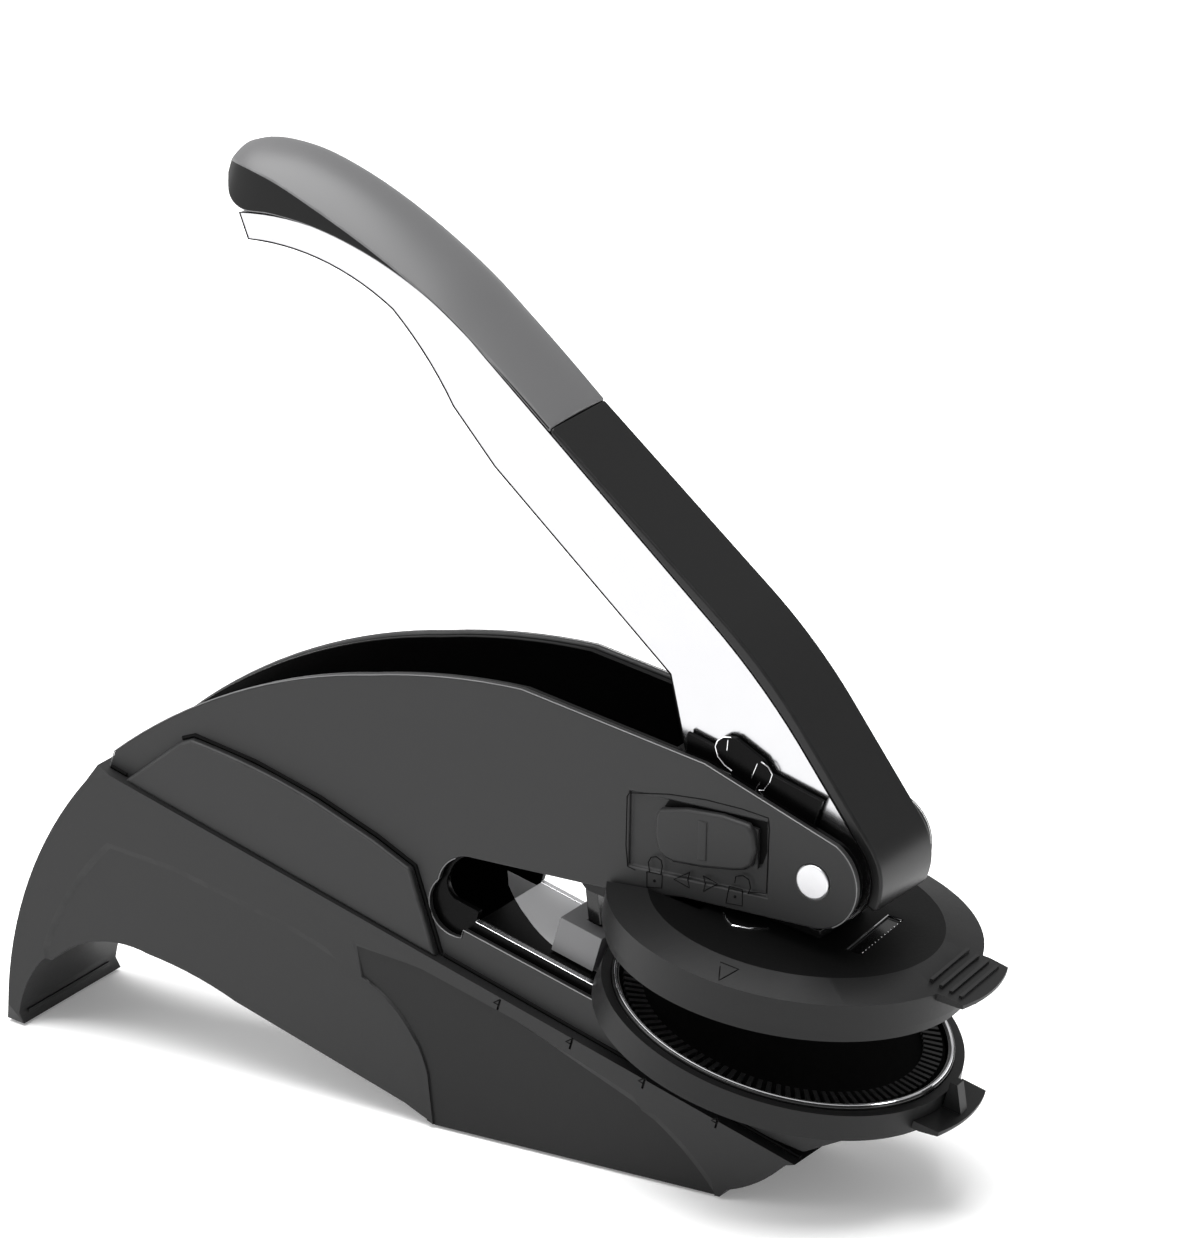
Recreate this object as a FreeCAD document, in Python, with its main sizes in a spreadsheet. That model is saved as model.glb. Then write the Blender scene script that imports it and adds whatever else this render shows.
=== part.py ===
import FreeCAD, Part
import math
import os

# Seal embosser, millimetres, +Z up and +X towards the dies.
# The press is set nose-down on its base, so most pieces are drawn square to the
# die in the die's own frame (x along the jaws, z square to the dies, origin at
# the centre of the lower holder's top) and are turned into place together.

Vector = FreeCAD.Vector
doc = FreeCAD.newDocument("seal_embosser")
sheet = doc.addObject("Spreadsheet::Sheet", "sizes")

SIZES = [
    ("dieHeight", 25.2, "desk to the centre of the lower holder's top"),
    ("jawAngle", 15.4, "degrees that the jaws slope down to the front"),
    ("openTilt", 6.5, "degrees that the upper holder stands open"),
    ("insertTurn", 4.5, "degrees that the die insert sits turned in the jaws"),
    ("openBack", 2.5, "how far the open upper holder's centre lies back"),
    ("openTop", 15.1, "height of the open upper holder's centre over the die plane"),
    ("closedGap", 1.0, "gap left between the holders when pressed"),
    ("baseReach", 125.4, "die centre to the rear of the base"),
    ("baseRise", 44.2, "desk to the top of the base"),
    ("baseWidth", 26.4, "width of the base"),
    ("baseWall", 2.2, "wall between the base's side and the frame"),
    ("footGap", 0.5, "height of the plastic over the desk"),
    ("facetDeep", 0.35, "depth of the side facets"),
    ("frontHollow", 39.0, "length of the hollow in the front foot"),
    ("frontHollowRise", 15.0, "height of the hollow in the front foot at its rear"),
    ("padThick", 2.0, "thickness of the rubber foot pads"),
    ("rearPadLong", 2.4, "length of the rear foot pad"),
    ("fitGap", 0.15, "gap between fitted plastic pieces"),
    ("slideGap", 0.3, "gap between sliding pieces"),
    ("runGap", 0.04, "radial clearance of running fits"),
    ("plateReach", 108.9, "die centre to the rear of the side plates"),
    ("plateRise", 36.9, "die plane to the top of the side plates"),
    ("plateDrop", 18.5, "die plane to the foot of the side plates"),
    ("jawReach", 20.0, "die centre to the front of the lower jaw"),
    ("innerWidth", 17.2, "width between the steel plates"),
    ("steelThick", 1.2, "thickness of a steel plate"),
    ("coverThick", 1.2, "thickness of a side cover"),
    ("steelInset", 0.3, "how far the steel stays inside the cover's outline"),
    ("jawTop", 5.3, "die plane down to the top of the steel lower jaw"),
    ("deckThick", 4.0, "thickness of the deck under the dies"),
    ("panelThick", 1.5, "thickness of the bare name panels"),
    ("pinAhead", 3.1, "pivot pin ahead of the die centre"),
    ("pinOver", 27.8, "pivot pin over the die plane"),
    ("pinRadius", 2.6, "radius of the pivot pin"),
    ("pinProud", 0.3, "how far the pin stands out of the covers"),
    ("noseRadius", 7.1, "radius of the upper jaw's nose about the pin"),
    ("spacerRadius", 2.9, "radius of the frame spacers"),
    ("rivetRadius", 1.6, "radius of the frame rivets"),
    ("washerRadius", 4.8, "radius of the pin washers"),
    ("leverWidth", 14.6, "width of the bright lever channel"),
    ("leverReach", 121.7, "pin to the tail of the handle, along the jaws"),
    ("leverRise", 59.0, "pin to the top edge of the handle"),
    ("leverWall", 1.3, "thickness of the lever channel"),
    ("hubRadius", 7.4, "radius of the channel round the pin"),
    ("coverWrap", 1.8, "thickness of the black strip on the lever"),
    ("coverLip", 0.2, "how far the black strip overhangs the channel"),
    ("gripWidth", 16.8, "width of the hand grip"),
    ("gripCrown", 3.4, "crown of the hand grip"),
    ("pressAngle", 38.0, "degrees of lever travel"),
    ("pressTravel", 8.3, "travel of the press block"),
    ("camStart", 2.0, "pin down to the cam face at rest"),
    ("blockWidth", 13.8, "width of the press block"),
    ("blockLong", 6.6, "length of the press block"),
    ("columnWidth", 9.0, "width of the press block's column and shelf"),
    ("shelfThick", 2.0, "thickness of the spring shelf"),
    ("shoeThick", 1.2, "thickness of the press shoe"),
    ("springRadius", 3.1, "mean radius of the return spring"),
    ("springWire", 0.9, "wire thickness of the return spring"),
    ("springRoom", 14.5, "height of the return spring at rest"),
    ("springBack", 26.0, "return spring behind the pin"),
    ("seatUnder", 6.4, "pin down to the spring seat"),
    ("seatLong", 7.8, "length of the spring seat"),
    ("blockBack", 12.5, "middle of the press block behind the pin"),
    ("shoeAhead", 0.9, "how far the shoe's front stays behind the pin"),
    ("seatThick", 1.5, "thickness of the spring seat"),
    ("holderRadius", 27.0, "radius of the lower holder's top"),
    ("holderFlare", 0.4, "how much wider the lower holder is at its foot"),
    ("holderWall", 3.94, "height of the lower holder's wall"),
    ("holderFoot", 5.0, "die plane down to the lower holder's underside"),
    ("holderFloor", 1.8, "thickness of the lower holder's floor"),
    ("footInset", 2.5, "how far the lower holder's underside stays inside its top"),
    ("rimWide", 1.5, "width of the lower holder's rim"),
    ("ringWide", 1.1, "width of the bright ring"),
    ("ringProud", 0.55, "how far the bright ring stands over the die plane"),
    ("dieTop", 0.5, "die plane down to the lower die's face"),
    ("dieTooth", 0.6, "height of the serrated crown"),
    ("toothLong", 2.8, "radial length of a tooth"),
    ("tabOut", 4.2, "how far the lower tab stands out of the holder"),
    ("tabHalf", 8.4, "half width of the lower tab"),
    ("tabDown", 2.0, "die plane down to the lower tab's top"),
    ("tabThick", 1.2, "thickness of the lower tab at its root"),
    ("tabTip", 0.5, "thickness of the tabs at their tips"),
    ("keyWide", 2.2, "width of the key over the lower tab"),
    ("keyRise", 2.1, "height of the key over the die plane"),
    ("keyLong", 1.5, "length of the key's top"),
    ("upperRadius", 27.4, "radius of the upper holder"),
    ("skirtInset", 0.7, "how far the upper holder's foot stays inside its side"),
    ("upperHigh", 6.1, "height of the upper holder's side"),
    ("crownRise", 1.4, "height of the upper holder's flat crown over its side"),
    ("crownInset", 5.8, "width of the sloping rim round the upper holder's flat crown"),
    ("upperTabOut", 4.1, "how far the upper tab stands out of the holder"),
    ("upperTabHalf", 8.0, "half width of the upper tab"),
    ("lipWide", 6.0, "width of the lip under the upper tab"),
    ("upperTabThick", 1.1, "thickness of the upper tab at its root"),
    ("upperWall", 2.1, "wall of the upper holder"),
    ("upperRoof", 3.2, "top of the upper holder's side down to its die"),
    ("upperSkirt", 1.8, "height of the narrower foot of the upper holder"),
    ("slotAhead", 12.4, "middle of the clip slot ahead of the upper holder's centre"),
    ("slotLong", 14.6, "length of the clip slot"),
    ("slotWide", 2.5, "width of the clip slot"),
    ("slotDeep", 1.6, "depth of the clip slot"),
    ("gripRibHigh", 0.4, "height of the grip ribs"),
    ("gripRibPitch", 1.6, "spacing of the grip ribs"),
    ("gripRibLong", 12.8, "length of the grip ribs"),
    ("reliefDeep", 2.1, "depth of the upper holder's cap and of its relief under the jaw"),
    ("reliefBack", 9.4, "front of the relief behind the upper holder's centre"),
    ("hingeOut", 2.1, "hinge pin behind the wider holder's rim"),
    ("hingeDown", 3.05, "hinge pin under the upper holder's top"),
    ("hingeRadius", 1.0, "radius of the insert's hinge pin"),
    ("strapWidth", 8.0, "width of the hinge strap"),
    ("strapThick", 2.0, "thickness of the hinge strap"),
    ("strapBehind", 2.3, "how far the strap lies behind its hinge pin"),
    ("guideRise", 0.5, "height of the strap's guide over the die plane"),
    ("guideBack", 3.1, "rear of the strap's guide behind the hinge pin"),
    ("guideWidth", 14.0, "width of the strap's guide"),
    ("barrelRadius", 1.9, "radius of the hinge barrel"),
    ("lugWide", 2.6, "width of a hinge lug"),
    ("lockTravel", 4.0, "travel of the lock button"),
    ("lockLong", 15.6, "length of the lock button"),
    ("lockHigh", 7.0, "height of the lock button"),
    ("lockProud", 1.3, "how far the lock button stands out"),
    ("frameLong", 22.7, "length of the lock's recess"),
    ("frameHigh", 11.4, "height of the lock's recess"),
    ("recessDeep", 0.6, "depth of the lock's recess"),
    ("lockBack", 18.8, "centre of the lock's recess behind the pin"),
    ("lockOver", 1.7, "centre of the lock's recess over the pin"),
    ("latchThick", 0.8, "thickness of the latch bar"),
    ("latchBack", 23.4, "rear of the latch bar behind the pin"),
    ("latchReach", 23.2, "length of the latch bar"),
    ("latchRise", 17.2, "height of the latch bar"),
    ("postLong", 4.0, "length of the lock's post"),
    ("postHigh", 2.0, "height of the lock's post"),
    ("tickHigh", 1.8, "height of the alignment marks"),
    ("tickWide", 0.35, "width and depth of the alignment marks"),
    ("tickDown", 13.7, "die plane down to the alignment marks"),
    ("overrun", 1.0, "how far cuts run past a face"),
]
for row, (alias, value, note) in enumerate(SIZES, start=1):
    sheet.set(f"A{row}", alias)
    sheet.set(f"B{row}", str(value))
    sheet.set(f"C{row}", note)
    sheet.setAlias(f"B{row}", alias)
doc.recompute()


def size(alias):
    return float(sheet.get(alias))


# Counts and shares
TOOTH_COUNT = 100
SPRING_TURNS = 6
GRIP_RIBS = 4
TIP_ROUND = 3.5

# Corners are (x share, z share); a four-share entry is an arc: a point on it, then its end.
BASE_SHARES = [
    (-1.0, 0.0113), (-0.9753, 0.5068, -0.8756, 1.0), (0.0781, 0.1878),
    (0.0367, 0.0792, -0.0191, 0.0113), (-0.4011, 0.0113), (-0.4195, 0.033, -0.4426, 0.0633),
    (-0.6762, 0.276), (-0.7496, 0.3439, -0.7975, 0.3688), (-0.9290, 0.272, -0.9697, 0.0113),
]
REAR_FACET_SHARES = [
    (-0.93, 0.0), (-0.93, 0.2), (-0.9349, 0.3127), (-0.9066, 0.4958, -0.8505, 0.7156), (-0.7627, 0.6876),
    (-0.6438, 0.608), (-0.5729, 0.5504, -0.51, 0.4778), (-0.4549, 0.3701, -0.4191, 0.1889), (-0.4104, 0.0),
]
FRONT_FACET_SHARES = [
    (-0.402, 0.0), (-0.4107, 0.1889), (-0.4465, 0.3701, -0.5016, 0.4778), (-0.5104, 0.5794),
    (-0.4208, 0.5546), (-0.2928, 0.4534), (-0.1385, 0.2697), (-0.0613, 0.1179, -0.0225, 0.0),
]
PANEL_SHARES = [
    (-0.8333, 0.9661), (-0.7576, 1.1448), (-0.7424, 1.1629), (-0.6587, 1.1199, -0.571, 1.0475),
    (-0.4928, 0.9593), (-0.4426, 0.8891), (-0.4067, 0.6052),
]
COVER_TOP_SHARES = [
    (-1.0, -0.22), (-0.8447, 0.293, -0.6631, 0.643), (-0.5554, 0.795, -0.4463, 0.905), (-0.1653, 0.992),
]
THROAT_SHARES = [
    (-0.0230, 0.5122), (-0.1414, 0.4173), (-0.2397, 0.2981), (-0.4481, 0.1247),
    (-0.4748, 0.0786, -0.4867, -0.0325), (-0.4812, -0.19, -0.4316, -0.2195),
]
STEEL_THROAT_SHARES = [
    (-0.0230, 0.5122), (-0.1414, 0.4173), (-0.2397, 0.2981), (-0.4481, 0.1247),
    (-0.4711, 0.07, -0.4780, 0.0), (-0.471, -0.08, -0.4500, -0.098), (-0.4224, -0.098),
]
LEVER_FRONT_SHARES = [
    (-0.0789, 0.2831), (-0.1512, 0.3831, -0.2284, 0.4678), (-0.6031, 0.8322),
    (-0.7231, 0.9186, -0.8135, 0.9373), (-0.8874, 0.922, -0.9581, 0.8746),
]
LEVER_REAR_SHARES = [
    (-0.9376, 0.8203), (-0.8398, 0.861, -0.7313, 0.8305), (-0.6746, 0.7593, -0.6220, 0.6695),
    (-0.5497, 0.5746), (-0.2597, 0.2898), (-0.2145, 0.1237), (-0.144, -0.038),
]
STRIP_SHARES = [(-0.0698, 0.3068), (-0.1397, 0.4068, -0.2219, 0.4949), (-0.4930, 0.7420)]
STRIP_SEAM_SHARES = [(-0.4930, 0.7252)]
GRIP_STATION_SHARES = [
    # along the lever, foot, top of the side, half width, crown
    (-0.4930, 0.7285, 0.7420, 0.893, 0.10),
    (-0.5500, 0.7845, 0.7970, 0.905, 0.32),
    (-0.6100, 0.8430, 0.8500, 0.930, 0.58),
    (-0.6750, 0.8975, 0.9030, 0.965, 0.80),
    (-0.7400, 0.9290, 0.9410, 0.990, 0.94),
    (-0.8000, 0.9410, 0.9680, 1.000, 1.00),
    (-0.8600, 0.9360, 0.9870, 0.990, 0.98),
    (-0.9150, 0.9125, 0.9975, 0.940, 0.86),
    (-0.9550, 0.8825, 1.0000, 0.840, 0.62),
    (-0.9820, 0.8830, 0.9960, 0.670, 0.34),
    (-1.0000, 0.9280, 0.9900, 0.400, 0.08),
]
SPACER_SHARES = [(-0.872, -0.217), (-0.569, 0.108), (-0.331, 0.393), (-0.276, -0.379), (0.0, -0.379)]
LATCH_SHARES = [
    (0.0, 0.0), (0.645, 0.0), (0.645, 0.35), (0.905, 0.35), (0.94, 0.41), (1.0, 0.66),
    (0.638, 0.795), (0.58, 0.905), (0.385, 1.04), (0.31, 1.04), (0.225, 0.935), (0.045, 1.0),
]
TICK_SHARES = [-0.343, -0.227, -0.111, 0.005]

# Derived values
tau = math.radians(size("jawAngle"))
open_tilt = math.radians(size("openTilt"))
press_angle = math.radians(size("pressAngle"))
inner_half = size("innerWidth") / 2
steel_half = inner_half + size("steelThick")
cover_half = steel_half + size("coverThick")
base_half = size("baseWidth") / 2


def world_of(x, z):
    """World x and z of a point of the die frame, before the model is centred."""
    wide = x * math.cos(tau) + z * math.sin(tau)
    high = size("dieHeight") - x * math.sin(tau) + z * math.cos(tau)
    return wide, high


def die_of(x, z):
    """Die-frame x and z of a world point."""
    rise = z - size("dieHeight")
    return x * math.cos(tau) - rise * math.sin(tau), x * math.sin(tau) + rise * math.cos(tau)


pin_x, pin_z = world_of(size("pinAhead"), size("pinOver"))
open_x, open_z = world_of(-size("openBack"), size("openTop"))
lean = tau - open_tilt
upper_reach = size("upperRadius") + size("upperTabOut")
hinge_back = max(size("upperRadius"), size("holderRadius") + size("holderFlare")) + size("hingeOut")
crown_radius = size("upperRadius") - size("crownInset")
crown_slope = size("crownRise") / size("crownInset")
tab_fall = size("upperTabThick") - size("tabTip")
tip_centre = upper_reach - TIP_ROUND * size("upperTabHalf")
tip_front = tip_centre * math.cos(math.radians(size("insertTurn"))) + TIP_ROUND * size("upperTabHalf")
front_reach = open_x + tip_front * math.cos(lean) - tab_fall * math.sin(lean)
origin_x = (size("baseReach") - front_reach) / 2
world_place = FreeCAD.Placement(Vector(origin_x, 0, 0), FreeCAD.Rotation())
die_place = FreeCAD.Placement(Vector(origin_x, 0, size("dieHeight")),
                              FreeCAD.Rotation(Vector(0, 1, 0), size("jawAngle")))
open_place = FreeCAD.Placement(Vector(origin_x + open_x, 0, open_z),
                               FreeCAD.Rotation(Vector(0, 1, 0), math.degrees(lean)))


def edges_of(path):
    """Sketch edges along a closed path of corners and three-point arcs."""
    edges = []
    here = path[0]
    for step in path[1:] + [path[0]]:
        end = step[-2:]
        if math.dist(here[-2:], end) < 1e-7:
            continue
        start = Vector(here[-2], here[-1], 0)
        if len(step) == 4:
            edges.append(Part.Arc(start, Vector(step[0], step[1], 0), Vector(end[0], end[1], 0)))
        else:
            edges.append(Part.LineSegment(start, Vector(end[0], end[1], 0)))
        here = step
    return edges


def scaled(shares, reach, rise, x=0, z=0):
    """A path of shares turned into sizes."""
    path = []
    for step in shares:
        path.append(tuple((x + share * reach) if place % 2 == 0 else (z + share * rise)
                          for place, share in enumerate(step)))
    return path


def box(x0, z0, x1, z1):
    return [(x0, z0), (x1, z0), (x1, z1), (x0, z1)]


def ring(radius, x=0, z=0):
    """A circle as two half arcs."""
    return [(x + radius, z), (x, z + radius, x - radius, z), (x, z - radius, x + radius, z)]


def new_body(label, place):
    body = doc.addObject("PartDesign::Body", label)
    body.Label = label
    body.Placement = place
    return body


def sketch(body, role, paths, offset="0"):
    """A sketch of closed paths on one of the body's own planes, moved along its normal."""
    drawn = body.newObject("Sketcher::SketchObject", body.Label + "_outline")
    plane = [item for item in body.Origin.OriginFeatures if item.Role == role][0]
    drawn.AttachmentSupport = [(plane, "")]
    drawn.MapMode = "FlatFace"
    drawn.setExpression("AttachmentOffset.Base.z", offset)
    for path in paths:
        drawn.addGeometry(edges_of(path), False)
    return drawn


def swing(path):
    """A path seen from above, turned with the die insert."""
    turn = math.radians(size("insertTurn"))
    swung = []
    for step in path:
        pairs = [(step[place], step[place + 1]) for place in range(0, len(step), 2)]
        swung.append(tuple(value for x, y in pairs for value in (
            x * math.cos(turn) - y * math.sin(turn), x * math.sin(turn) + y * math.cos(turn))))
    return swung


def swung_sketch(body, path):
    """A sketch on the upright plane that runs along the turned insert's tab."""
    drawn = sketch(body, "XZ_Plane", [path])
    drawn.AttachmentOffset = FreeCAD.Placement(
        Vector(), FreeCAD.Rotation(Vector(0, 1, 0), size("insertTurn")))
    return drawn


def extrude(body, kind, drawn, length, symmetric=False, through=False, back=False):
    feature = body.newObject("PartDesign::" + kind, body.Label + "_" + kind.lower())
    feature.Profile = drawn
    if through:
        feature.Type = "ThroughAll"
    else:
        feature.setExpression("Length", length)
    if symmetric:
        feature.SideType = "Symmetric"
    feature.Reversed = back
    doc.recompute()
    return feature


def prism(label, place, paths, length, far_face=None):
    """A plate drawn from the side; far_face is its +Y face, or it lies across the middle."""
    body = new_body(label, place)
    offset = "0" if far_face is None else "-(" + far_face + ")"
    extrude(body, "Pad", sketch(body, "XZ_Plane", paths, offset), length, far_face is None)
    return body


def cut(body, paths, length=None, far_face=None):
    """A cut seen from the side: across the whole body, or length deep from the +Y side of far_face."""
    offset = "0" if far_face is None else "-(" + far_face + ")"
    drawn = sketch(body, "XZ_Plane", paths, offset)
    if length is None:
        extrude(body, "Pocket", drawn, None, True, True)
    elif far_face is None:
        extrude(body, "Pocket", drawn, length, True)
    else:
        extrude(body, "Pocket", drawn, length, back=True)


def turned(label, place, path):
    """A body turned about its own z axis."""
    body = new_body(label, place)
    drawn = sketch(body, "XZ_Plane", [path])
    feature = body.newObject("PartDesign::Revolution", label + "_turn")
    feature.Profile = drawn
    feature.ReferenceAxis = (drawn, ["V_Axis"])
    feature.Angle = 360
    doc.recompute()
    return body


def flat(body, kind, paths, low, length, through=False):
    """A pad or pocket drawn from above, starting at height low and running up."""
    drawn = sketch(body, "XY_Plane", paths, low)
    extrude(body, kind, drawn, length, back=(kind == "Pocket"), through=through)


def feature_of(label, shape, place):
    item = doc.addObject("Part::Feature", label)
    item.Label = label
    item.Shape = shape
    item.Placement = place
    return item


# Base and its pads
def base_path(shares):
    return scaled(shares, size("baseReach"), size("baseRise"))


ledge_rear = base_path(BASE_SHARES[1:2])[0][-2:]
ledge_front = base_path(BASE_SHARES[2:3])[0]


def ledge_height(x):
    """Height of the base's sloping top at a world x."""
    slope = (ledge_front[1] - ledge_rear[1]) / (ledge_front[0] - ledge_rear[0])
    return ledge_rear[1] + slope * (x - ledge_rear[0])


channel_floor = -size("plateDrop") - size("slideGap")
channel_rear = -size("plateReach") - size("fitGap")
channel_front = size("jawReach") * 0.42
base = prism("base_shell", world_place, [base_path(BASE_SHARES)], "sizes.baseWidth")
channel = []
for x, z in box(channel_rear, channel_floor, channel_front, size("plateRise")):
    channel.append(world_of(x, z))
cut(base, [channel], f"{2 * (cover_half + size('fitGap')) / size('baseWidth')} * sizes.baseWidth")
foot_rear = base_path(BASE_SHARES[4:5])[0][0]
hollow_rear = foot_rear + size("baseWall") * 1.5
hollow_front = hollow_rear + size("frontHollow")
hollow_top = size("frontHollowRise")
cut(base, [[(hollow_rear, 0), (hollow_front, 0), (hollow_front, hollow_top * 0.34),
            (hollow_rear, hollow_top)]], "sizes.baseWidth - 2 * sizes.baseWall")
leg_inner = base_path(BASE_SHARES[-1:])[0][-2]
rear_pad_mid = (leg_inner - size("baseReach")) / 2
rear_half = size("rearPadLong") / 2
cut(base, [box(rear_pad_mid - rear_half - size("fitGap"), 0,
               rear_pad_mid + rear_half + size("fitGap"), size("padThick"))],
    "sizes.baseWidth - 2 * sizes.baseWall")
for facet in (REAR_FACET_SHARES, FRONT_FACET_SHARES):
    for far_face in ("sizes.baseWidth / 2 + sizes.overrun", "sizes.facetDeep - sizes.baseWidth / 2"):
        cut(base, [base_path(facet)], "sizes.facetDeep + sizes.overrun", far_face)
for share in TICK_SHARES:
    middle = share * size("plateReach")
    mark = []
    for x, z in box(middle - size("tickWide") / 2, -size("tickDown") - size("tickHigh") / 2,
                    middle + size("tickWide") / 2, -size("tickDown") + size("tickHigh") / 2):
        mark.append(world_of(x, z))
    for far_face in ("sizes.baseWidth / 2 + sizes.overrun", "sizes.tickWide - sizes.baseWidth / 2"):
        cut(base, [mark], "sizes.tickWide + sizes.overrun", far_face)
pad_width = "sizes.baseWidth - 2 * sizes.baseWall - 2 * sizes.fitGap"
prism("front_foot_pad", world_place,
      [box(hollow_rear + size("fitGap"), 0, hollow_front - size("fitGap"), size("padThick"))], pad_width)
prism("rear_foot_pad", world_place,
      [box(rear_pad_mid - rear_half, 0, rear_pad_mid + rear_half, size("padThick"))], pad_width)

# Side plates: steel frame plates inside, plastic covers outside
pin = (size("pinAhead"), size("pinOver"))


def jaw_path(inset, throat_shares, jaw_top):
    """Outline of a side plate: a C with the throat open to the front."""
    reach, rise = size("plateReach"), size("plateRise")
    top = scaled(COVER_TOP_SHARES, reach - inset, rise - inset)
    nose = size("noseRadius") - inset
    top.append((pin[0] + nose * 0.25, pin[1] + nose * 0.968))
    top.append((pin[0] + nose * 0.88, pin[1] + nose * 0.475, pin[0] + nose * 0.95, pin[1] - nose * 0.312))
    top.append((pin[0] + nose * 0.75, pin[1] - nose * 0.66, pin[0] + nose * 0.25, pin[1] - nose * 0.968))
    throat = scaled(throat_shares, reach, rise)
    front = size("jawReach") - inset
    drop = size("plateDrop") - inset
    under = [(front, -jaw_top), (front * 0.68, -drop * 0.68), (channel_front - size("fitGap") - inset, -drop * 0.71),
             (channel_front - size("fitGap") - inset, -drop), (-reach + inset, -drop)]
    return top + throat + [(throat[-1][-2], -jaw_top)] + under


cover_outline = jaw_path(0, THROAT_SHARES, size("jawTop") + size("steelInset") * 5)
steel_outline = jaw_path(size("steelInset"), STEEL_THROAT_SHARES, size("jawTop"))
steel_face = "sizes.innerWidth / 2"
cover_face = "(sizes.innerWidth / 2 + sizes.steelThick)"
pin_hole = ring(size("pinRadius") + size("runGap") / 2, *pin)
spacers = scaled(SPACER_SHARES, size("plateReach"), size("plateRise"))
rivet_holes = [ring(size("rivetRadius") + size("runGap") / 2, *place) for place in spacers]
near_steel = prism("near_frame_plate", die_place, [steel_outline], "sizes.steelThick", "-" + steel_face)
far_steel = prism("far_frame_plate", die_place, [steel_outline], "sizes.steelThick",
                  steel_face + " + sizes.steelThick")
near_cover = prism("near_side_cover", die_place, [cover_outline], "sizes.coverThick", "-" + cover_face)
far_cover = prism("far_side_cover", die_place, [cover_outline], "sizes.coverThick",
                  cover_face + " + sizes.coverThick")
for plate in (near_steel, far_steel):
    cut(plate, [pin_hole] + rivet_holes)
for plate in (near_cover, far_cover):
    cut(plate, [pin_hole])
panel = base_path(PANEL_SHARES)
for end in (0, -1):
    panel[end] = (panel[end][0], ledge_height(panel[end][0]))
prism("near_name_panel", world_place, [panel], "sizes.panelThick",
      "-" + cover_face + " - sizes.coverThick")
prism("far_name_panel", world_place, [panel], "sizes.panelThick",
      cover_face + " + sizes.coverThick + sizes.panelThick")

# Spacers, rivets, deck, pin and washers
spacer_body = prism("frame_spacers", die_place,
                    [ring(size("spacerRadius"), *place) for place in spacers], "sizes.innerWidth")
cut(spacer_body, rivet_holes)
prism("frame_rivets", die_place, [ring(size("rivetRadius"), *place) for place in spacers],
      "sizes.innerWidth + 2 * sizes.steelThick")
deck_rear = scaled(STEEL_THROAT_SHARES[-1:], size("plateReach"), 1)[0][0]
prism("die_deck", die_place,
      [box(deck_rear, -size("jawTop") - size("deckThick"), size("jawReach") * 0.8, -size("jawTop"))],
      "sizes.innerWidth")
prism("pivot_pin", die_place, [ring(size("pinRadius"), *pin)],
      "sizes.innerWidth + 2 * (sizes.steelThick + sizes.coverThick + sizes.pinProud)")
washer_thick = "((sizes.innerWidth - sizes.leverWidth) / 2 - sizes.coverLip)"
washers = new_body("pin_washers", die_place)
for side in (1, -1):
    face = "-" + steel_face if side > 0 else steel_face + " - " + washer_thick
    washer = sketch(washers, "XZ_Plane", [ring(size("washerRadius"), *pin),
                                          ring(size("pinRadius") + size("runGap") / 2, *pin)], face)
    extrude(washers, "Pad", washer, washer_thick)

# Lever: bright channel with the cam on its cheeks, black strip, grip
front_normal = math.radians(52.4)
hub_touch = (math.cos(front_normal), math.sin(front_normal))


def about_pin(shares):
    return scaled(shares, size("leverReach"), size("leverRise"), *pin)


def turn_down(x, z):
    """A world offset from the pin, in the die frame."""
    return pin[0] + x * math.cos(tau) - z * math.sin(tau), pin[1] + x * math.sin(tau) + z * math.cos(tau)


def cam_point(angle):
    """Point of the cheek's rest outline that presses when the lever has turned by angle."""
    arm = size("pressTravel") / press_angle
    fall = size("camStart") + arm * angle
    x, z = -arm, -fall
    return turn_down(x * math.cos(angle) + z * math.sin(angle), z * math.cos(angle) - x * math.sin(angle))


def hub_point(radius, degrees):
    """A point of the hub, at an angle over the die frame's x axis."""
    turn = math.radians(degrees)
    return pin[0] + radius * math.cos(turn), pin[1] + radius * math.sin(turn)


hub = size("hubRadius")
hub_angle = 52.4
front_path = about_pin(LEVER_FRONT_SHARES)
flat_end = turn_down(-math.sqrt(hub ** 2 - size("camStart") ** 2), -size("camStart"))
cheek = [hub_point(hub, hub_angle)] + front_path + about_pin(LEVER_REAR_SHARES)
cheek += [cam_point(press_angle), cam_point(press_angle / 2) + cam_point(0), flat_end]
cheek.append(hub_point(hub, -60) + hub_point(hub, hub_angle))
lever = prism("lever_channel", die_place, [cheek], "sizes.leverWidth")
web = size("leverWall")
web_x, web_z = hub_point(web, hub_angle)[0] - pin[0], hub_point(web, hub_angle)[1] - pin[1]
hollow = [hub_point(hub - web, hub_angle)]
for step in front_path:
    hollow.append(tuple(value - (web_x if place % 2 == 0 else web_z) for place, value in enumerate(step)))
hollow[-1] = hollow[-1][:2] + (hollow[-1][2] + web, hollow[-1][3])
hollow += [(hollow[-1][2], 0), (pin[0] + 2 * hub, 0), hub_point(hub * 1.2, -25)]
hollow += [hub_point(hub - web, -25), hub_point(hub - web, 14) + hub_point(hub - web, hub_angle)]
cut(lever, [hollow], "sizes.leverWidth - 2 * sizes.leverWall")
cut(lever, [ring(size("pinRadius") + size("runGap"), *pin)])

strip = hub + size("coverWrap")
strip_back = about_pin(STRIP_SEAM_SHARES) + [front_path[1][-2:], front_path[1][:2] + front_path[0]]
prism("lever_cover", die_place,
      [[hub_point(strip, -12), hub_point(strip, 20) + hub_point(strip, hub_angle)] + about_pin(STRIP_SHARES)
       + strip_back + [hub_point(hub, hub_angle), hub_point(hub, 20) + hub_point(hub, -12)]],
      "sizes.leverWidth + 2 * sizes.coverLip")

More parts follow.
